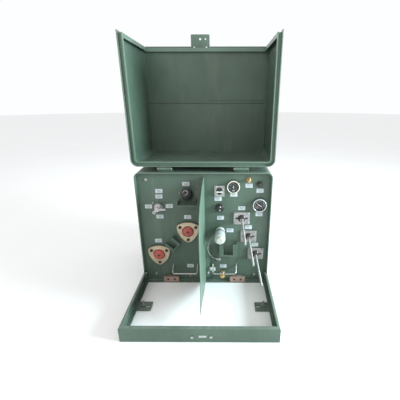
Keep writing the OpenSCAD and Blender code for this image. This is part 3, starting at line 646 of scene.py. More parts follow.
def tube(bm, path, radius, sides=10, closed=False):
    # round tube along points in metres; the radius may change with the distance
    side = Vector((0.31, 0.87, 0.38))
    rows = []
    distance = 0.0
    for i, here in enumerate(path):
        before = path[i - 1] if i or closed else here
        after = path[(i + 1) % len(path)] if i + 1 < len(path) or closed else here
        along = (after - before).normalized()
        side = (side - along * side.dot(along)).normalized()
        other = along.cross(side)
        distance += (here - before).length if i else 0.0
        r = radius(distance) if callable(radius) else radius
        rows.append([bm.verts.new(here + r * mm * (side * math.cos(2 * math.pi * k / sides)
                                                    + other * math.sin(2 * math.pi * k / sides)))
                     for k in range(sides)])
    joinRows(bm, rows, closed)
    if not closed:
        bm.faces.new(rows[0])
        bm.faces.new(rows[-1])


# ---- nuts, bolts and studs ----

fastenerSetup = {
    # nut width across corners, its thickness and the finish it shows
    "clamp": {"width": 17.1, "thick": 7.0, "pitch": 1.25, "finish": "dark"},
    "flange": {"width": 13.3, "thick": 5.0, "pitch": 1.0, "finish": "pale"},
    "switchPlate": {"width": 8.7, "thick": 3.0, "pitch": 0.8, "finish": "pale"},
    "bracket": {"width": 15.2, "thick": 6.0, "pitch": 1.25, "finish": "pale"},
    "studPast": 3.0,    # how far a stud stands out of its nut
    "rimSide": 0.38,    # fasteners beyond this, in metres, go through the rim's sides
    "sillFront": -0.4,
    "lowVoltagePitch": 1.75,
    "coverNut": {"radius": 8.0, "washer": 11.0},
}


def nearestKind(width):
    kinds = [k for k, v in fastenerSetup.items() if isinstance(v, dict) and "width" in v]
    return min(kinds, key=lambda k: abs(fastenerSetup[k]["width"] - width))


def makeFaceFasteners(setup):
    batches = {"dark": bmesh.new(), "pale": bmesh.new(), "copper": bmesh.new()}
    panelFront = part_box("faceplate")[0].y
    turns = 0
    for middle, low, high in middlesOf("face_fasteners"):
        size = (high - low) / mm
        turns += 37
        if abs(middle.x) > setup["rimSide"]:
            out = Vector((math.copysign(1, middle.x), 0, 0))
            where = aimed(Vector((middle.x - out.x * size.x / 2 * mm, middle.y, middle.z)), out)
            washer(batches["pale"], where, 4.5, 10.5, 0.4, 1.6)
            hexNut(batches["pale"], moved(where, 0, 0, 0, turns), 9.5, 6.4, 0, 1.6)
            threadedRod(batches["pale"], where, 4.9, 5.0, size.x, 1.25)
        elif middle.y < setup["sillFront"]:    # spare bolt beside the lock bolt
            where = aimed(Vector((middle.x, high.y, middle.z)))
            profile = [
                (0, 0), (6, 0), (6, size.y - 5), (8, size.y - 5), (8, size.y - 1.4), (5.6, size.y),
                (0, size.y)
            ]
            lathe(batches["pale"], where, profile, 0.5, 40)
        elif abs(size.x - 24) < 0.5:    # big nut on each low voltage stud
            where = aimed(Vector((middle.x, high.y, middle.z)), turn=turns)
            hexNut(batches["pale"], where, 12.0, size.y, 7.05, 0.0, 36)
        elif abs(size.x - size.z) < 0.2:    # tapped ground stud
            where = aimed(Vector((middle.x, high.y, middle.z)), turn=turns)
            hexNut(batches["copper"], where, 8.0, size.y * 0.55, 0.0)
            threadedRod(batches["copper"], where, 5.4, 1.0, size.y, 1.25)
        else:
            kind = setup[nearestKind(size.x)]
            batch = batches[kind["finish"]]
            radius = kind["width"] / 2
            where = aimed(Vector((middle.x, panelFront, middle.z)))
            top = size.y - setup["studPast"]
            seat = top - kind["thick"]
            washer(batch, where, radius * 0.5, radius * 1.16, seat, seat + 1.2)
            hexNut(batch, moved(where, 0, 0, 0, turns), radius, kind["thick"] - 1.2, radius * 0.5,
                   seat + 1.2)
            threadedRod(batch, where, radius * 0.51, 0.2, size.y, kind["pitch"])
    makePiece("face_nuts_zinc", batches["pale"], plainSteel, stands=("face_fasteners",))
    makePiece("clamp_nuts_dark", batches["dark"], darkSteel)
    makePiece("ground_stud_copper", batches["copper"], copperMetal)


def makeCoverBolts(setup):
    bm = bmesh.new()
    for i, (middle, low, _) in enumerate(middlesOf("cover_bolts")):
        where = aimed(Vector((middle.x, middle.y, low.z)), up)
        washer(bm, where, 3.0, setup["washer"], 0, 1.8)
        hexNut(bm, moved(where, 0, 0, 0, 23 * i), setup["radius"], 6.0, 0.0, 1.8)
    makePiece("cover_bolt_heads", bm, plainSteel, stands=("cover_bolts",))


def makeLowVoltageStuds(setup):
    bm = bmesh.new()
    for middle, low, high in middlesOf("lv_studs"):
        where = aimed(Vector((middle.x, 0, middle.z)))
        out = -low.y / mm
        inside = high.y / mm
        threadedRod(bm, where, 6.0, 39.0, out, setup["lowVoltagePitch"])
        threadedRod(bm, where, 7.0, 14.0, 41.0, setup["lowVoltagePitch"], 24)
        lathe(bm, where, [(0, -inside), (7, -inside), (7, 15), (0, 15)], 0.8, 28)
    makePiece("lv_threaded_studs", bm, studZinc, stands=("lv_studs",))


makeFaceFasteners(fastenerSetup)
makeCoverBolts(fastenerSetup["coverNut"])
makeLowVoltageStuds(fastenerSetup)
print("stage: nuts, bolts and studs")

# ---- high voltage wells ----

clampSetup = {"boltRadius": 57.0, "lobe": 20.0, "hole": 37.0, "back": 10.0, "frontFace": 18.0, "dish": 1.3}
capSetup = {"radius": 33.0, "seat": 11.0, "ribs": 6, "ribHeight": 1.6, "star": (9.6, 5.6)}


def arcPoints(middle, radius, start, end, count):
    steps = [polar(radius, start + (end - start) * k / count) for k in range(count + 1)]
    return [(middle[0] + x, middle[1] + y) for x, y in steps]


def clampOutline(setup):
    # bulged triangle, point down, seen from the front
    reach = setup["boltRadius"]
    wide = reach * math.sqrt(3) + setup["lobe"]
    lobes = [polar(reach, 120 * k - 90) for k in range(3)]
    points = []
    for k in range(3):
        points += arcPoints(lobes[k], setup["lobe"], 120 * k - 119, 120 * k - 61, 8)
        points += arcPoints(lobes[(k + 2) % 3], wide, 120 * k - 59, 120 * k - 1, 14)
    return points


def makeWellClamps(setup):
    bm = bmesh.new()
    outline = clampOutline(setup)
    face = setup["frontFace"]
    dish = face - setup["dish"]
    steps = [(0, setup["back"]), (0, face - 1.6), (0.6, face - 0.5), (1.8, face), (5.5, face), (7.0, dish)]
    inner = [(setup["hole"] + 8.0, dish), (setup["hole"] + 6.5, face), (setup["hole"] + 1.2, face),
             (setup["hole"], face - 1.2), (setup["hole"], setup["back"])]
    for nodeName in ("dust_cap_left", "dust_cap_right"):
        where = plateFrame(nodeName)
        rows = []
        for inset, height in steps:
            points = []
            for x, y in outline:
                shrink = 1 - inset / math.hypot(x, y)
                points.append((x * shrink, y * shrink, height))
            rows.append(addRow(bm, where, points))
        for radius, height in inner:
            points = []
            for x, y in outline:
                scale = radius / math.hypot(x, y)
                points.append((x * scale, y * scale, height))
            rows.append(addRow(bm, where, points))
        joinRows(bm, rows, True)
    makePiece("well_clamp_plates", bm, clampZinc, stands=("well_clamps",))


def makeWellLiners():
    # seating ring that shows between each clamp and its cap
    bm = bmesh.new()
    for nodeName in ("dust_cap_left", "dust_cap_right"):
        where = plateFrame(nodeName)
        profile = [(34.0, 9.8), (36.6, 9.8), (36.6, 14.5), (35.4, 15.5), (34.0, 14.0)]
        lathe(bm, where, profile, 0.5, 64, True)
    makePiece("well_seat_rings", bm, epoxyResin)


def makeDustCap(nodeName, setup):
    bm = bmesh.new()
    low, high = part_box(nodeName)
    where = plateFrame(nodeName)
    deep = -high.y / mm
    out = -low.y / mm
    r = setup["radius"]
    seat = setup["seat"]
    profile = [
        (0, deep), (22, deep), (24, deep + 3), (24, seat - 6), (24, seat), (r - 0.6, seat),
        (r, seat + 2), (r, out - 7.5), (r - 1.2, out - 5.6), (r - 5.5, out - 4.2), (r - 6.5, out - 2.6),
        (r - 9, out - 2.2), (13, out - 1.2), (9, out), (5.6, out), (4.6, out - 1.2), (4.2, out - 9),
        (0, out - 9)
    ]
    lathe(bm, where, profile, 1.3, 72)
    for k in range(setup["ribs"]):
        rib = moved(where, 0, 0, 0, 360 / setup["ribs"] * k + 12)
        outline = [(9, -1.0), (r - 7, -1.5), (r - 7, 1.5), (9, 1.0)]
        slab(bm, moved(rib, 0, 0, out - 3.2), outline, 0, setup["ribHeight"], 0.5)
    makePiece(nodeName + "_moulding", bm, redRubber, nodeName, (nodeName,))
    star = bmesh.new()
    points = [polar(setup["star"][k % 2], 22.5 * k) for k in range(16)]
    rows = [addRow(star, where, [(x, y, out - 0.5) for x, y in points]),
            addRow(star, where, [(x, y, out + 0.25) for x, y in points]),
            addRow(star, where, [(x * 0.5, y * 0.5, out + 0.3) for x, y in points]),
            addRow(star, where, [(x * 0.3, y * 0.3, out - 2.0) for x, y in points]),
            addRow(star, where, [(0, 0, out - 4.0)])]
    joinRows(star, rows)
    star.faces.new(rows[0])
    makePiece(nodeName + "_star", star, blackRubber, nodeName)


makeWellClamps(clampSetup)
makeWellLiners()
for capName in ("dust_cap_left", "dust_cap_right"):
    makeDustCap(capName, capSetup)
print("stage: high voltage wells")

# ---- fuse ----

fuseSetup = {"flange": 38.0, "collar": 30.0, "grip": 24.0, "ring": 13.5, "wire": 2.3, "ringGap": 70,
             "ringHeight": 92.0, "tab": (-33, 70), "tabRivet": (-37, 77), "aboveTray": 54.0}


def makeFuse(setup):
    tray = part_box("drip_tray")[0].z
    place = Vector((centreOf("drip_tray").x, 0, tray + setup["aboveTray"] * mm))
    upright = aimed(place)
    tilted = aimed(place, jointAxis["fuse_pull"].normalized())
    bm = bmesh.new()
    f = setup["flange"]
    profile = [(27, 0.1), (f, 0.1), (f, 5), (f - 3, 7), (f - 7, 7), (f - 9, 5.6), (27, 5.6)]
    lathe(bm, upright, profile, 0.8, 72, True)
    c = setup["collar"]
    profile = [
        (14.1, -215), (26, -215), (26, 24), (c, 28), (c, 33), (c - 2, 34.5), (c - 2, 37), (c, 38.5),
        (c, 57), (c - 2.5, 60), (21.5, 60), (20.1, 58.6), (20.1, 46), (14.1, 46)
    ]
    lathe(bm, tilted, profile, 0.9, 72, True, 36, 0.8)
    makePiece("fuse_housing_moulding", bm, blackPlastic, stands=("fuse_housing",))
    bm = bmesh.new()
    g = setup["grip"]
    profile = [
        (0, -190), (10, -190), (11, -188), (11, -2), (14, 0), (14, 46), (19.9, 46), (19.9, 66), (g, 68),
        (g, 77), (g - 2.5, 80), (12, 80), (10.5, 84), (0, 84.5)
    ]
    lathe(bm, tilted, profile, 0.9, 64, False, 24, 0.9)
    slab(bm, moved(tilted, setup["tab"][0], 0, setup["tab"][1]), roundedBox(26, 10, 3.5), 0, 7, 0.8)
    lathe(bm, tilted, [(0, 80), (8, 80), (8, 83), (4.5, 85), (4.5, 90), (0, 92)], 0.7, 32)
    makePiece("fuse_holder_moulding", bm, blackPlastic, "fuse_holder", ("fuse_holder",))
    bm = bmesh.new()
    middle = tilted @ (Vector((0, 0, setup["ringHeight"])) * mm)
    across = tilted.to_3x3() @ Vector((0, 0.9, 0))
    aside = tilted.to_3x3() @ Vector((1, 0, 0))
    path = []
    gap = setup["ringGap"] / 2
    for k in range(41):
        angle = math.radians(-135 + gap + (360 - 2 * gap) * k / 40)
        path.append(middle + setup["ring"] * mm * (across * math.sin(angle) + aside * math.cos(angle)))
    tube(bm, path, setup["wire"], 14)
    rivet = moved(tilted, setup["tabRivet"][0], 0, setup["tabRivet"][1])
    lathe(bm, rivet, [(0, -1), (4.2, -1), (4.2, 1.2), (2.6, 2.6), (0, 3.0)], 0.6, 28)
    makePiece("fuse_pull_ring", bm, studZinc, "fuse_holder")


makeFuse(fuseSetup)
print("stage: fuse")

# ---- load switch ----

switchSetup = {"cone": (25.0, 17.0), "ribs": 4, "lever": 52.0, "eyeTurn": -135, "eyeReach": 27.0}


def makeSwitch(setup):
    where = jointFrame("switch_turn")
    bm = bmesh.new()
    wide, narrow = setup["cone"]
    profile = [(0, -38), (8.2, -38), (9, -36), (9, 15.2), (wide, 15.2), (wide, 18)]
    for k in range(setup["ribs"]):
        share = (k + 0.5) / setup["ribs"]
        r = wide + (narrow - wide) * share
        z = 15 + 30 * share
        profile += [(r + 0.6, z - 2.4), (r + 0.2, z + 0.8), (r - 4.4, z + 1.9), (r - 4.4, z + 3.3)]
    profile += [(14, 46), (14, 58), (12, 60), (7, 60), (6, 58.6), (0, 58.6)]
    lathe(bm, where, profile, 0.8, 64)
    arm = [(0, -7), (setup["lever"] - 8, -5), (setup["lever"] - 1.5, -4), (setup["lever"], -1),
           (setup["lever"], 1), (setup["lever"] - 1.5, 4), (setup["lever"] - 8, 5), (0, 7)]
    slab(bm, where, arm, 47, 56, 1.4)
    foot = [(0, -7), (22, -6), (22, 6), (0, 7)]
    slab(bm, moved(where, 0, 0, 0, setup["eyeTurn"]), foot, 47.4, 55.6, 1.2)
    eye = moved(where, *polar(setup["eyeReach"], setup["eyeTurn"]))
    lathe(bm, eye, [(4, 47.2), (10, 47.2), (10, 55.8), (4, 55.8)], 1.6, 40, True)
    hexNut(bm, where, 6.5, 1.3, 0.0, 58.6)
    makePiece("switch_handle_casting", bm, switchCast, "switch_handle", ("switch_handle",))


makeSwitch(switchSetup)
print("stage: load switch")

# ---- gauges ----

gaugeSetup = {
    # needle: reach, tail and half width
    "level": {"ticks": 9, "start": 215, "end": -35, "scale": 25.5, "bezel": 4.2, "lip": 4.9, "turn": 188,
              "needle": (17, 8, 2.3)},
    "temp": {"ticks": 25, "start": 225, "end": -45, "scale": 28.5, "bezel": 3.2, "lip": 3.7, "turn": 55,
             "needle": (27, 17, 2.5)},
    "zone": (17.5, 23.5, 200, 248),    # inner and outer radius, start and end
    "window": (17, 4.2, -23),    # width, height and place below the centre
    "face": 24.0,    # front of the case
    "dial": 15.25,    # dial sheet
    "pointerHeight": 18.5,
}


def makeBezel(name, where, radius, width, lip, face, finish):
    bm = bmesh.new()
    profile = [
        (radius - lip, face - 2.2), (radius - lip, face + 0.5), (radius - lip + 1.4, face + 1.3),
        (radius - 0.6, face + 0.6), (radius + 0.5, face - 1.2), (radius + 0.5, face - width - 5),
        (radius - 1.5, face - width - 6), (radius - 1.5, face - 1.0), (radius - 3.0, face - 0.4)
    ]
    lathe(bm, where, profile, 0.7, 96, True)
    makePiece(name, bm, finish)


def makeDial(name, where, radius, setup, dial):
    bm = bmesh.new()
    profile = [(3.4, dial), (radius - 5.2, dial), (radius - 5.2, dial + 0.35), (3.4, dial + 0.35)]
    lathe(bm, where, profile, 0.1, 96, True)
    makePiece(name + "_sheet", bm, dialBlack)
    marks = bmesh.new()
    for k in range(setup["ticks"]):
        turn = setup["start"] + (setup["end"] - setup["start"]) * k / (setup["ticks"] - 1)
        major = k % 4 == 0
        length = 5.6 if major else 3.2
        outline = roundedBox(length, 1.7 if major else 0.9, 0.3)
        tick = moved(moved(where, 0, 0, 0, turn), setup["scale"] - length / 2, 0, dial + 0.3)
        slab(marks, tick, outline, 0, 0.35, 0.1)
    return marks


def makeArc(bm, where, inner, outer, start, end, low, high):
    steps = 24
    rows = []
    for r, z in ((inner, low), (outer, low), (outer, high), (inner, high)):
        points = arcPoints((0, 0), r, start, end, steps)
        rows.append(addRow(bm, where, [(x, y, z) for x, y in points]))
    for first, second in zip(rows, rows[1:] + rows[:1]):
        for k in range(steps):
            bm.faces.new((first[k], first[k + 1], second[k + 1], second[k]))
    bm.faces.new([row[0] for row in rows])
    bm.faces.new([row[-1] for row in rows])


def makePointer(nodeName, setup, height):
    bm = bmesh.new()
    where = moved(jointFrame(nodeName + "_turn"), 0, 0, 0, setup["turn"])
    reach, tail, width = setup["needle"]
    outline = [(-width * 0.7, -tail), (width * 0.7, -tail), (width, 0), (0.5, reach), (-0.5, reach),
               (-width, 0)]
    slab(bm, where, outline, height - 1.2, height, 0.3)
    profile = [
        (0, 8), (2.9, 8), (2.9, height - 1), (4.2, height - 0.8), (4.2, height + 0.6),
        (3.0, height + 1.2), (0, height + 1.2)
    ]
    lathe(bm, where, profile, 0.4, 32)
    makePiece(nodeName + "_needle", bm, whiteEnamel, nodeName, (nodeName,))


def makeGauges(setup):
    face = setup["face"]
    dial = setup["dial"]
    for key in ("level", "temp"):
        part = setup[key]
        where = jointFrame(key + "_pointer_turn")
        low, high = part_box(key + "_gauge_case")
        radius = (high.x - low.x) / 2 / mm
        makeBezel(key + "_bezel", where, radius, part["bezel"], part["lip"], face,
                  bezelWarm if key == "level" else bezelMetal)
        marks = makeDial(key + "_dial", where, radius, part, dial)
        if key == "level":
            wide, tall, below = setup["window"]
            slab(marks, moved(where, 0, below, dial + 0.3), roundedBox(wide, tall, 1.2), 0, 0.4, 0.1)
        makePiece(key + "_dial_marks", marks, whiteEnamel)
    zone = bmesh.new()
    where = jointFrame("temp_pointer_turn")
    makeArc(zone, where, *setup["zone"], dial + 0.3, dial + 0.7)
    makePiece("temp_dial_zone", zone, zoneRed)
    for key in ("level", "temp"):
        makePointer(key + "_pointer", setup[key], setup["pointerHeight"])


makeGauges(gaugeSetup)
print("stage: gauges")

# ---- voltage and tap knobs, fill plug ----

knobSetup = {"voltageRadius": 20.0, "tapRim": 27.0, "tapHub": 22.0, "screwSpread": 10.5}


def makeKnobs(setup):
    where = jointFrame("voltage_knob_turn")
    bm = bmesh.new()
    r = setup["voltageRadius"]
    profile = [(0, -36), (5.4, -36), (6, -34), (6, 4.4), (r, 4.4), (r, 17.5), (r - 2.4, 20), (0, 20)]
    lathe(bm, where, profile, 1.0, 72, False, 18, 1.0)
    makePiece("voltage_knob_disc", bm, blackPlastic, "voltage_knob", ("voltage_knob",))
    bm = bmesh.new()
    bow = [(-17, -6.2), (0, -2.0), (17, -6.2), (17.5, 0), (17, 6.2), (0, 2.0), (-17, 6.2), (-17.5, 0)]
    rows = []
    for inset, height in ((0, 19.6), (0, 24.0), (0.7, 24.8)):
        narrow = [(x * (1 - inset / 17), y - math.copysign(inset * 0.6, y) if y else 0) for x, y in bow]
        rows.append(addRow(bm, where, [(x, y, height) for x, y in narrow]))
    joinRows(bm, rows)
    bm.faces.new(rows[0])
    bm.faces.new(rows[-1])
    makePiece("voltage_knob_bar", bm, paleCast, "voltage_knob")
    where = jointFrame("tap_knob_turn")
    bm = bmesh.new()
    profile = [
        (0, -36), (5.4, -36), (6, -34), (6, 0.5), (setup["tapRim"], 0.5), (setup["tapRim"], 8.5),
        (setup["tapRim"] - 1.5, 10), (setup["tapHub"] + 0.5, 10.4), (setup["tapHub"], 12),
        (setup["tapHub"], 18), (setup["tapHub"] - 2, 20), (0, 20)
    ]
    lathe(bm, where, profile, 0.9, 80, False, 30, 0.9)
    arrow = [(-2, -15), (2, -15), (3.5, 14), (0, 19), (-3.5, 14)]
    slab(bm, moved(where, 0, 0, 19.4, 18), arrow, 0, 2.2, 0.6)
    makePiece("tap_knob_disc", bm, blackPlastic, "tap_knob", ("tap_knob",))
    bm = bmesh.new()
    for s in (-1, 1):
        head = moved(where, 1.5 + s * 1.5, s * setup["screwSpread"], 19.6)
        profile = [(0, 0), (4.6, 0), (4.6, 1.4), (3.4, 2.6), (1.2, 3.0), (1.2, 1.8), (0, 1.6)]
        lathe(bm, head, profile, 0.6, 28)
    makePiece("tap_knob_screws", bm, brightMetal, "tap_knob")


def makeFillPlug():
    where = jointFrame("fill_plug_turn")
    out = -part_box("fill_plug")[0].y / mm
    bm = bmesh.new()
    profile = [
        (0, -13.8), (8, -13.8), (9, -12.5), (9, 0.3), (18, 0.3), (18, 8), (16.6, 10), (13.5, 10),
        (12.5, 9), (0, 9)
    ]
    lathe(bm, where, profile, 0.7, 64, False, 12, 0.6)
    makePiece("fill_plug_body", bm, blackPlastic, "fill_plug", ("fill_plug",))
    bm = bmesh.new()
    slab(bm, moved(where, 0, 0, 8.6, 12), roundedBox(14, 14, 2.2), 0, out - 8.6, 1.4)
    washer(bm, where, 9.6, 12.2, 8.8, 9.9)
    makePiece("fill_plug_square", bm, darkSteel, "fill_plug")


makeKnobs(knobSetup)
makeFillPlug()
print("stage: knobs and plug")

# ---- low voltage side ----


def makeLowVoltageInsulators():
    bm = bmesh.new()
    wings = bmesh.new()
    for middle, _, _ in middlesOf("lv_insulators"):
        where = aimed(Vector((middle.x, 0, middle.z)))
        profile = [
            (7.1, -60), (22.5, -60), (24, -58), (24, 12.5), (23, 14.5), (21.5, 15.5), (21, 17.5),
            (19.2, 19), (18.8, 21.5), (16.5, 25), (15.2, 27.6), (13.5, 28), (7.1, 28)
        ]
        lathe(bm, where, profile, 0.9, 64, True)
        outline = [(-37, -5.0), (37, -5.0), (37, 5.0), (-37, 5.0)]
        slab(wings, where, [tuple(p) for p in eased(outline, 2.0, True)], 0.2, 6.2, 1.0)
    makePiece("lv_insulator_domes", bm, epoxyResin, stands=("lv_insulators",))
    makePiece("lv_insulator_wings", wings, darkResin)


def makeNeutral():
    where = plateFrame("neutral_bushing")
    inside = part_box("neutral_bushing")[1].y / mm
    bm = bmesh.new()
    profile = [
        (0, -inside), (18.5, -inside), (20, -inside + 2), (20, -0.2), (27, 0.2), (27, 6), (29.4, 9),
        (29.4, 17), (27, 21), (26.4, 30), (29.6, 35), (29.6, 42), (28.4, 45), (28.4, 57.5), (31.5, 59),
        (33, 62), (33, 80), (31.6, 84), (33, 88), (33, 106), (31.6, 110), (33, 114), (32.6, 122),
        (29.5, 127), (25, 129), (0, 129.5)
    ]
    lathe(bm, where, profile, 2.0, 72)
    makePiece("neutral_porcelain", bm, porcelain, stands=("neutral_bushing",))
    bm = bmesh.new()
    profile = [(0, 129), (21.5, 129), (22.5, 131), (22.5, 138), (19.5, 142.6), (16, 143), (0, 143)]
    lathe(bm, where, profile, 1.6, 64)
    lathe(bm, where, [(23.5, 126), (27.5, 126), (27.5, 130), (23.5, 131)], 0.8, 64, True)
    makePiece("neutral_end_disc", bm, creamEnamel)


strapSetup = {
    # the braid's route, the same points as the CAD solid's, in millimetres
    "route": [(63, -51, 370), (32, -50, 325), (17, -36, 262), (38, -20, 196), (76, -5, 166)],
    "lug": (90, 163),
    "strands": 3,
    "strandRadius": 1.55,
    "strandOffset": 1.85,    # from the braid's middle
    "lay": 13.0,    # length of one twist
    "band": (48.5, 55.5),
}


def makeGroundStrap(setup):
    bm = bmesh.new()
    path = smoothPath([Vector(p) * mm for p in setup["route"]], 22)
    side = Vector((0, -1, 0))
    frames = []
    distance = 0.0
    for i, here in enumerate(path):
        before = path[max(0, i - 1)]
        after = path[min(len(path) - 1, i + 1)]
        along = (after - before).normalized()
        side = (side - along * side.dot(along)).normalized()
        distance += (here - before).length / mm
        frames.append((here, side.copy(), along.cross(side), distance))
    for k in range(setup["strands"]):
        strand = []
        for here, first, second, run in frames:
            angle = 2 * math.pi * (k / setup["strands"] + run / setup["lay"])
            strand.append(here + setup["strandOffset"] * mm * (first * math.cos(angle)
                                                              + second * math.sin(angle)))
        tube(bm, strand, setup["strandRadius"], 10)
    makePiece("ground_strap_braid", bm, braid, stands=("ground_strap",))
    lug = bmesh.new()
    where = aimed(Vector((setup["lug"][0], 0, setup["lug"][1])) * mm)
    lathe(lug, where, [(4.3, 0.2), (11, 0.2), (11, 3.4), (10, 4.2), (4.3, 4.2)], 0.6, 48, True)
    slab(lug, moved(where, -13, 2.5, 0, 168), roundedBox(13, 8.5, 2), 0.6, 7.2, 1.6)
    makePiece("strap_lug", lug, brightMetal)
    band = bmesh.new()
    where = plateFrame("neutral_bushing")
    near, far = setup["band"]
    profile = [(29.6, near), (31.6, near), (32.0, near + 1), (32.0, far - 1), (31.6, far), (29.6, far)]
    lathe(band, where, profile, 0.4, 72, True)
    screw = moved(where, -34, 0, (near + far) / 2)
    slab(band, moved(screw, 0, 0, -3.4), roundedBox(9, 11, 1.5), 0, 7, 0.8)
    makePiece("neutral_band", band, bandBrown)


reliefSetup = {"hoopOut": 50.0, "hoop": 10.0, "wire": 1.3}


def makeReliefValve(setup):
    where = plateFrame("relief_valve_body")
    bm = bmesh.new()
    hexNut(bm, where, 15, 8, 0)
    profile = [
        (0, -18), (7.4, -18), (8, -17), (8, -0.1), (8, 4), (11, 8), (11, 15), (9.8, 16), (9.8, 18),
        (11, 19), (11, 31), (9.6, 34), (4.4, 34), (4.1, 32), (4.1, 20.5), (0, 20.5)
    ]
    lathe(bm, where, profile, 0.6, 56)
    makePiece("relief_valve_brass", bm, orangeBrass, stands=("relief_valve_body",))
    bm = bmesh.new()
    profile = [(0, 20.6), (3.2, 20.6), (4, 21.6), (4, 36), (5.4, 36.4), (5.4, 39), (4, 40), (0, 40)]
    lathe(bm, where, profile, 0.5, 40)
    middle = where @ (Vector((0, 0, setup["hoopOut"])) * mm)
    path = [middle + Vector((0, *polar(setup["hoop"] * mm, 7.5 * k))) for k in range(48)]
    tube(bm, path, setup["wire"], 10, True)
    makePiece("relief_pull_ring", bm, plainSteel, "relief_ring", ("relief_ring",))


def makeDrainValve():
    where = plateFrame("drain_valve_body")
    bm = bmesh.new()
    hexNut(bm, where, 18, 10, 0)
    profile = [
        (0, -30), (8, -30), (9, -28.8), (9, -0.2), (12, 10), (12, 20), (11, 21), (11, 23), (12, 24),
        (12, 33), (11, 34), (7.2, 34), (7.2, 14), (0, 14)
    ]
    lathe(bm, where, profile, 0.6, 56)
    makePiece("drain_valve_brass", bm, brassMetal, stands=("drain_valve_body",))
    bm = bmesh.new()
    threadedRod(bm, where, 7.0, 15, 35, 1.5, 28)
    hexNut(bm, moved(where, 0, 0, 0, 14), 16, 13.7, 0, 34.3)
    lathe(bm, where, [(0, 47.6), (9, 47.6), (9, 52), (7.4, 54), (0, 54)], 0.8, 48)
    makePiece("drain_cap_brass", bm, orangeBrass, "drain_valve_cap", ("drain_valve_cap",))


padSetup = {"pitch": 44.45, "hole": 5.5}
rodSetup = {"slope": 38.5, "screwSpread": 11.0, "aboveMiddle": 13.0}


def makeGroundPads(setup):
    # tapped holes with a chamfer and thread rings, let into each pad's face
    bm = bmesh.new()
    for middle, low, _ in middlesOf("ground_pads"):
        for s in (-1, 1):
            place = Vector((middle.x + s * setup["pitch"] / 2 * mm, low.y, middle.z))
            where = aimed(place)
            r = setup["hole"]
            profile = [(r + 1.4, 0.05), (r + 1.2, 0.35), (r + 0.1, 0.3), (r - 0.2, -0.8)]
            for k in range(8):
                profile += [(r - 0.75, -1.4 - 1.6 * k), (r - 0.1, -2.2 - 1.6 * k)]
            profile += [(r + 0.02, -15), (r + 0.02, -16)]
            lathe(bm, where, profile, 0.1, 40, True)
    makePiece("ground_pad_threads", bm, darkSteel)


def makeGroundClamp(setup):
    # screws of the parallel clamp on the right rod
    bm = bmesh.new()
    middle = centreOf("ground_clamp")
    tilt = math.radians(setup["slope"])
    slope = Vector((0, -math.sin(tilt), math.cos(tilt)))
    for s in (-1, 1):
        place = middle + Vector((s * setup["screwSpread"] * mm, 0, 0)) + slope * setup["aboveMiddle"] * mm
        where = aimed(place, slope)
        washer(bm, where, 3, 8.2, 0.4, 1.8)
        hexNut(bm, moved(where, 0, 0, 0, 17 + 30 * s), 6.4, 4.2, 0, 1.8)
    makePiece("clamp_screw_heads", bm, brightMetal)


makeLowVoltageInsulators()
makeNeutral()
makeGroundStrap(strapSetup)
makeReliefValve(reliefSetup)
makeDrainValve()
makeGroundPads(padSetup)
print("stage: low voltage side")

# ---- labels ----

labelSetup = {"corner": 1.6, "border": 1.3, "bars": 3, "barHeight": 2.8, "barStep": 5.6}


def makeLabels(setup):
    plates = bmesh.new()
    lines = bmesh.new()
    for middle, low, high in middlesOf("labels"):
        size = (high - low) / mm
        where = aimed(Vector((middle.x, high.y, middle.z)))
        slab(plates, where, roundedBox(size.x, size.z, setup["corner"]), 0.0, 1.1, 0.4)
        inner = roundedBox(size.x - 4.4, size.z - 4.4, setup["corner"])
        outer = roundedBox(size.x - 4.4 + setup["border"], size.z - 4.4 + setup["border"], setup["corner"])
        rows = [addRow(lines, where, [(x, y, z) for x, y in ring])
                for ring, z in ((outer, 0.9), (outer, 1.25), (inner, 1.25), (inner, 0.9))]
        joinRows(lines, rows, True)
        for k in range(setup["bars"]):
            bar = moved(where, 0, setup["barStep"] * (1 - k), 0.9)
            slab(lines, bar, roundedBox(size.x * (0.68 - 0.12 * k), setup["barHeight"], 0.5), 0, 0.35, 0.1)
    makePiece("label_plates", plates, labelStock, stands=("labels",))
    makePiece("label_frames", lines, labelInk)


makeLabels(labelSetup)
print("stage: labels")

# ---- weld beads and seams ----

# stand and rodRing: half width and half height of the weld round them
beadSetup = {"step": 1.5, "scale": 4.2, "panel": 2.6, "bracket": 2.2, "seam": 1.9,
             "flangeTop": 292, "rodTop": 5.75, "stand": (38, 33), "rodRing": (5.4, 6.6)}


def beadRadius(width, scale):
    # fish scale ripples along a weld
    def radius(distance):
        share = (distance / (scale * mm)) % 1
        return width * (0.86 + 0.2 * share + 0.07 * math.sin(distance / (17 * mm)))
    return radius


def bead(bm, points, width, setup, closed=False):
    path = evenPath([Vector(p) for p in points], setup["step"] * mm)
    if closed:
        path.pop()
    tube(bm, path, beadRadius(width, setup["scale"]), 8, closed)


def archRoute(x, low, top, corner, y):
    # up one side, over the top and down the other side
    route = [Vector((-x, y, low))]
    for s, start in ((-1, 180), (1, 90)):
        for k in range(13):
            angle = math.radians(start - 90 * k / 12)
            route.append(Vector((s * (x - corner) + corner * math.cos(angle), y,
                                 top - corner + corner * math.sin(angle))))
    route.append(Vector((x, y, low)))
    return route


def leafBeads(bm, nodeName, height, setup):
    # weld round three sides of each hinge leaf
    for low, high in solidsOf(nodeName):
        left = low.x - 0.2 * mm
        right = high.x + 0.2 * mm
        bead(bm, [(left, 2 * mm, height), (left, high.y, height), (right, high.y, height),
                  (right, 2 * mm, height)], setup["bracket"], setup)


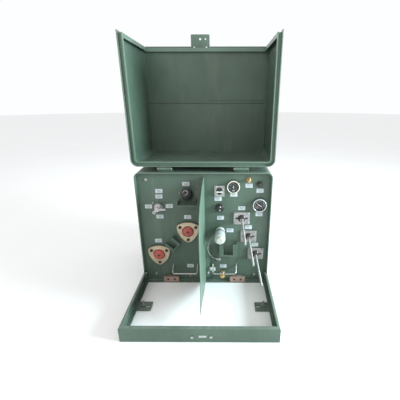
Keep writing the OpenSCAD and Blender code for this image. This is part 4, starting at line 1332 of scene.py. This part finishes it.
def makeTankBeads(setup):
    bm = bmesh.new()
    low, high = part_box("faceplate")
    wide = high.x
    bead(bm, archRoute(wide, low.z + 2 * mm, high.z, 31 * mm, 0.0), setup["panel"], setup)
    bead(bm, [(-wide, -0.4 * mm, low.z), (wide, -0.4 * mm, low.z)], setup["panel"], setup)
    wallLow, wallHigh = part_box("barrier")
    flangeTop = setup["flangeTop"] * mm
    for x, foot in ((wallLow.x, wallLow.z + 4 * mm), (-wallLow.x, flangeTop + 2 * mm)):
        bead(bm, [(x, 0, foot), (x, 0, wallHigh.z - 4 * mm)], setup["bracket"], setup)
    for low, high in solidsOf("hold_down_cleats"):
        edge = high.x if high.x > 0 else low.x
        bead(bm, [(edge, low.y, 9.2 * mm), (edge, high.y, 9.2 * mm)], setup["panel"], setup)
    shellLow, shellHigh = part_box("tank_shell")
    for low, high in solidsOf("lifting_lugs"):
        edge = shellHigh.x if high.x > 0 else shellLow.x
        for y in (low.y, high.y):
            bead(bm, [(edge, y, low.z), (edge, y, high.z - 8 * mm)], setup["panel"], setup)
    leafBeads(bm, "hinge_tank_leaves", shellHigh.z + 0.6 * mm, setup)
    stand = centreOf("hv_parking_stand")
    right = Vector((math.sqrt(0.5), 0, math.sqrt(0.5)))
    rise = Vector((-math.sqrt(0.5), 0, math.sqrt(0.5)))
    middle = Vector((stand.x, -0.2 * mm, stand.z))
    across = right * setup["stand"][0] * mm
    along = rise * setup["stand"][1] * mm
    corners = [middle + across * sx + along * sz for sx, sz in ((-1, 1), (-1, -1), (1, -1), (1, 1))]
    bead(bm, corners, setup["bracket"], setup)
    low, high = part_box("lv_parking_bracket")
    bead(bm, [(low.x, 0, high.z), (low.x, 0, low.z), (high.x, 0, low.z), (high.x, 0, high.z)],
         setup["bracket"], setup)
    low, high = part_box("drip_tray")
    top = high.z - 2 * mm
    bead(bm, [(low.x, 0, top), (low.x, 0, low.z), (high.x, 0, low.z), (high.x, 0, top)],
         setup["bracket"], setup)
    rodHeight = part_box("ground_rods")[1].z - setup["rodTop"] * mm
    for low, high in solidsOf("ground_rods"):
        for x in (low.x + 4.5 * mm, high.x - 4.5 * mm):
            wide, tall = (r * mm for r in setup["rodRing"])
            ring = [Vector((x + polar(wide, a)[0], -0.6 * mm, rodHeight + polar(tall, a)[1]))
                    for a in range(0, 360, 12)]
            tube(bm, ring, beadRadius(setup["seam"], setup["scale"]), 8, True)
    makePiece("tank_weld_beads", bm, weldPaint)


def makeTankSeams(setup):
    # rolled seam where the back and the base close the tank
    bm = bmesh.new()
    low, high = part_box("tank_shell")
    edge = archRoute(high.x - 0.2 * mm, low.z, high.z - 0.2 * mm, 34 * mm, high.y - 3 * mm)
    bead(bm, edge, setup["seam"], setup)
    for x in (low.x, high.x):
        bead(bm, [(x, low.y, low.z), (x, high.y, low.z)], setup["seam"], setup)
    bead(bm, [(low.x, high.y, low.z), (high.x, high.y, low.z)], setup["seam"], setup)
    makePiece("tank_seam_beads", bm, weldPaint)


def makeHoodBeads(setup):
    bm = bmesh.new()
    low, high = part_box("hood_shell")
    leafBeads(bm, "hood_hinge_leaves", low.z - 0.4 * mm, setup)
    inside = 2.7 * mm
    floor = low.z + inside
    back = high.y - 8 * mm - inside
    for x in (low.x + inside, high.x - inside):
        bead(bm, [(x, back, floor + 40 * mm), (x, back + 7.4 * mm, low.z + 334 * mm),
                  (x, back, high.z - 30 * mm)], setup["seam"], setup)
    makePiece("hood_weld_beads", bm, weldPaint, "hood")


haspSetup = {"aside": 40.0, "down": 5.3}


def makeHaspRivets(setup):
    bm = bmesh.new()
    low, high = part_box("hasp")
    middle = (low.x + high.x) / 2
    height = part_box("hood_shell")[1].z - setup["down"] * mm
    for s in (-1, 1):
        x = middle + s * setup["aside"] * mm
        where = aimed(Vector((x, high.y - 0.2 * mm, height)), (0, 1, 0))
        lathe(bm, where, [(0, -1), (6.5, -1), (6.3, 0.4), (4.6, 2.0), (2.2, 2.8), (0, 3.0)], 0.8, 36)
        inner = aimed(Vector((x, low.y + 0.3 * mm, height)))
        lathe(bm, inner, [(0, -1), (5.6, -1), (5.2, 0.6), (3.4, 1.9), (0, 2.3)], 0.6, 32)
    makePiece("hasp_rivets", bm, paleCast, "hood")


foldShadowSetup = {"fold": 334.0, "sheet": 2.5, "width": 4.6, "secondUp": 18.0, "secondWidth": 2.4}
cleatSetup = {"stud": 6.4, "nut": 11.4, "nutDown": 9.0, "studUp": 26.3}


def makeFoldShadowLines(setup):
    # painted shadow: dark strips across the inside of the hood's back, at its fold
    bm = bmesh.new()
    low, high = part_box("hood_shell")
    wide = (high.x - low.x) / mm - 2 * setup["sheet"] - 1
    where = aimed(Vector((0, high.y - (setup["sheet"] - 0.3) * mm, low.z + setup["fold"] * mm)))
    slab(bm, where, roundedBox(wide, setup["width"], 1.0), 0, 1.4, 0.8)
    right = moved(where, wide / 4, setup["secondUp"], 0.4)
    slab(bm, right, roundedBox(wide / 2, setup["secondWidth"], 0.8), 0, 1.1, 0.6)
    makePiece("hood_fold_shadow_lines", bm, foldShadowPaint, "hood")


def makeCleatStuds(setup):
    bm = bmesh.new()
    for mount in frame["record"]["mounts"]:
        if mount["name"].endswith("cleat_stud"):
            where = aimed(Vector(mount["pos_m"]), up, 20)
            threadedRod(bm, where, setup["stud"], -1, setup["studUp"], 1.75, 24)
            hexNut(bm, where, setup["nut"], setup["nutDown"] + 0.2, 0, -setup["nutDown"])
    makePiece("cleat_studs_zinc", bm, studZinc)


makeTankBeads(beadSetup)
makeTankSeams(beadSetup)
makeHoodBeads(beadSetup)
makeHaspRivets(haspSetup)
makeGroundClamp(rodSetup)
makeFoldShadowLines(foldShadowSetup)
makeCleatStuds(cleatSetup)
print("stage: welds, seams and rivets")

# ---- floor ----


def makeFloor(setup):
    bm = bmesh.new()
    bmesh.ops.create_circle(bm, cap_ends=True, segments=96, radius=setup["radius"])
    mesh = bpy.data.meshes.new("floor")
    bm.to_mesh(mesh)
    bm.free()
    floor = bpy.data.objects.new("floor", mesh)
    bpy.context.scene.collection.objects.link(floor)
    floor.location.z = cadLow.z - setup["drop"]
    g = Graph("floorPaint")
    base = g.mix(g.noise(1.6, 4.0), shade(setup["colour"], 0.97), shade(setup["colour"], 1.02))
    mesh.materials.append(g.finish(base, 0.7, g.bump(g.noise(300.0), 0.05, 0.3 * mm)))


makeFloor(floorSetup)
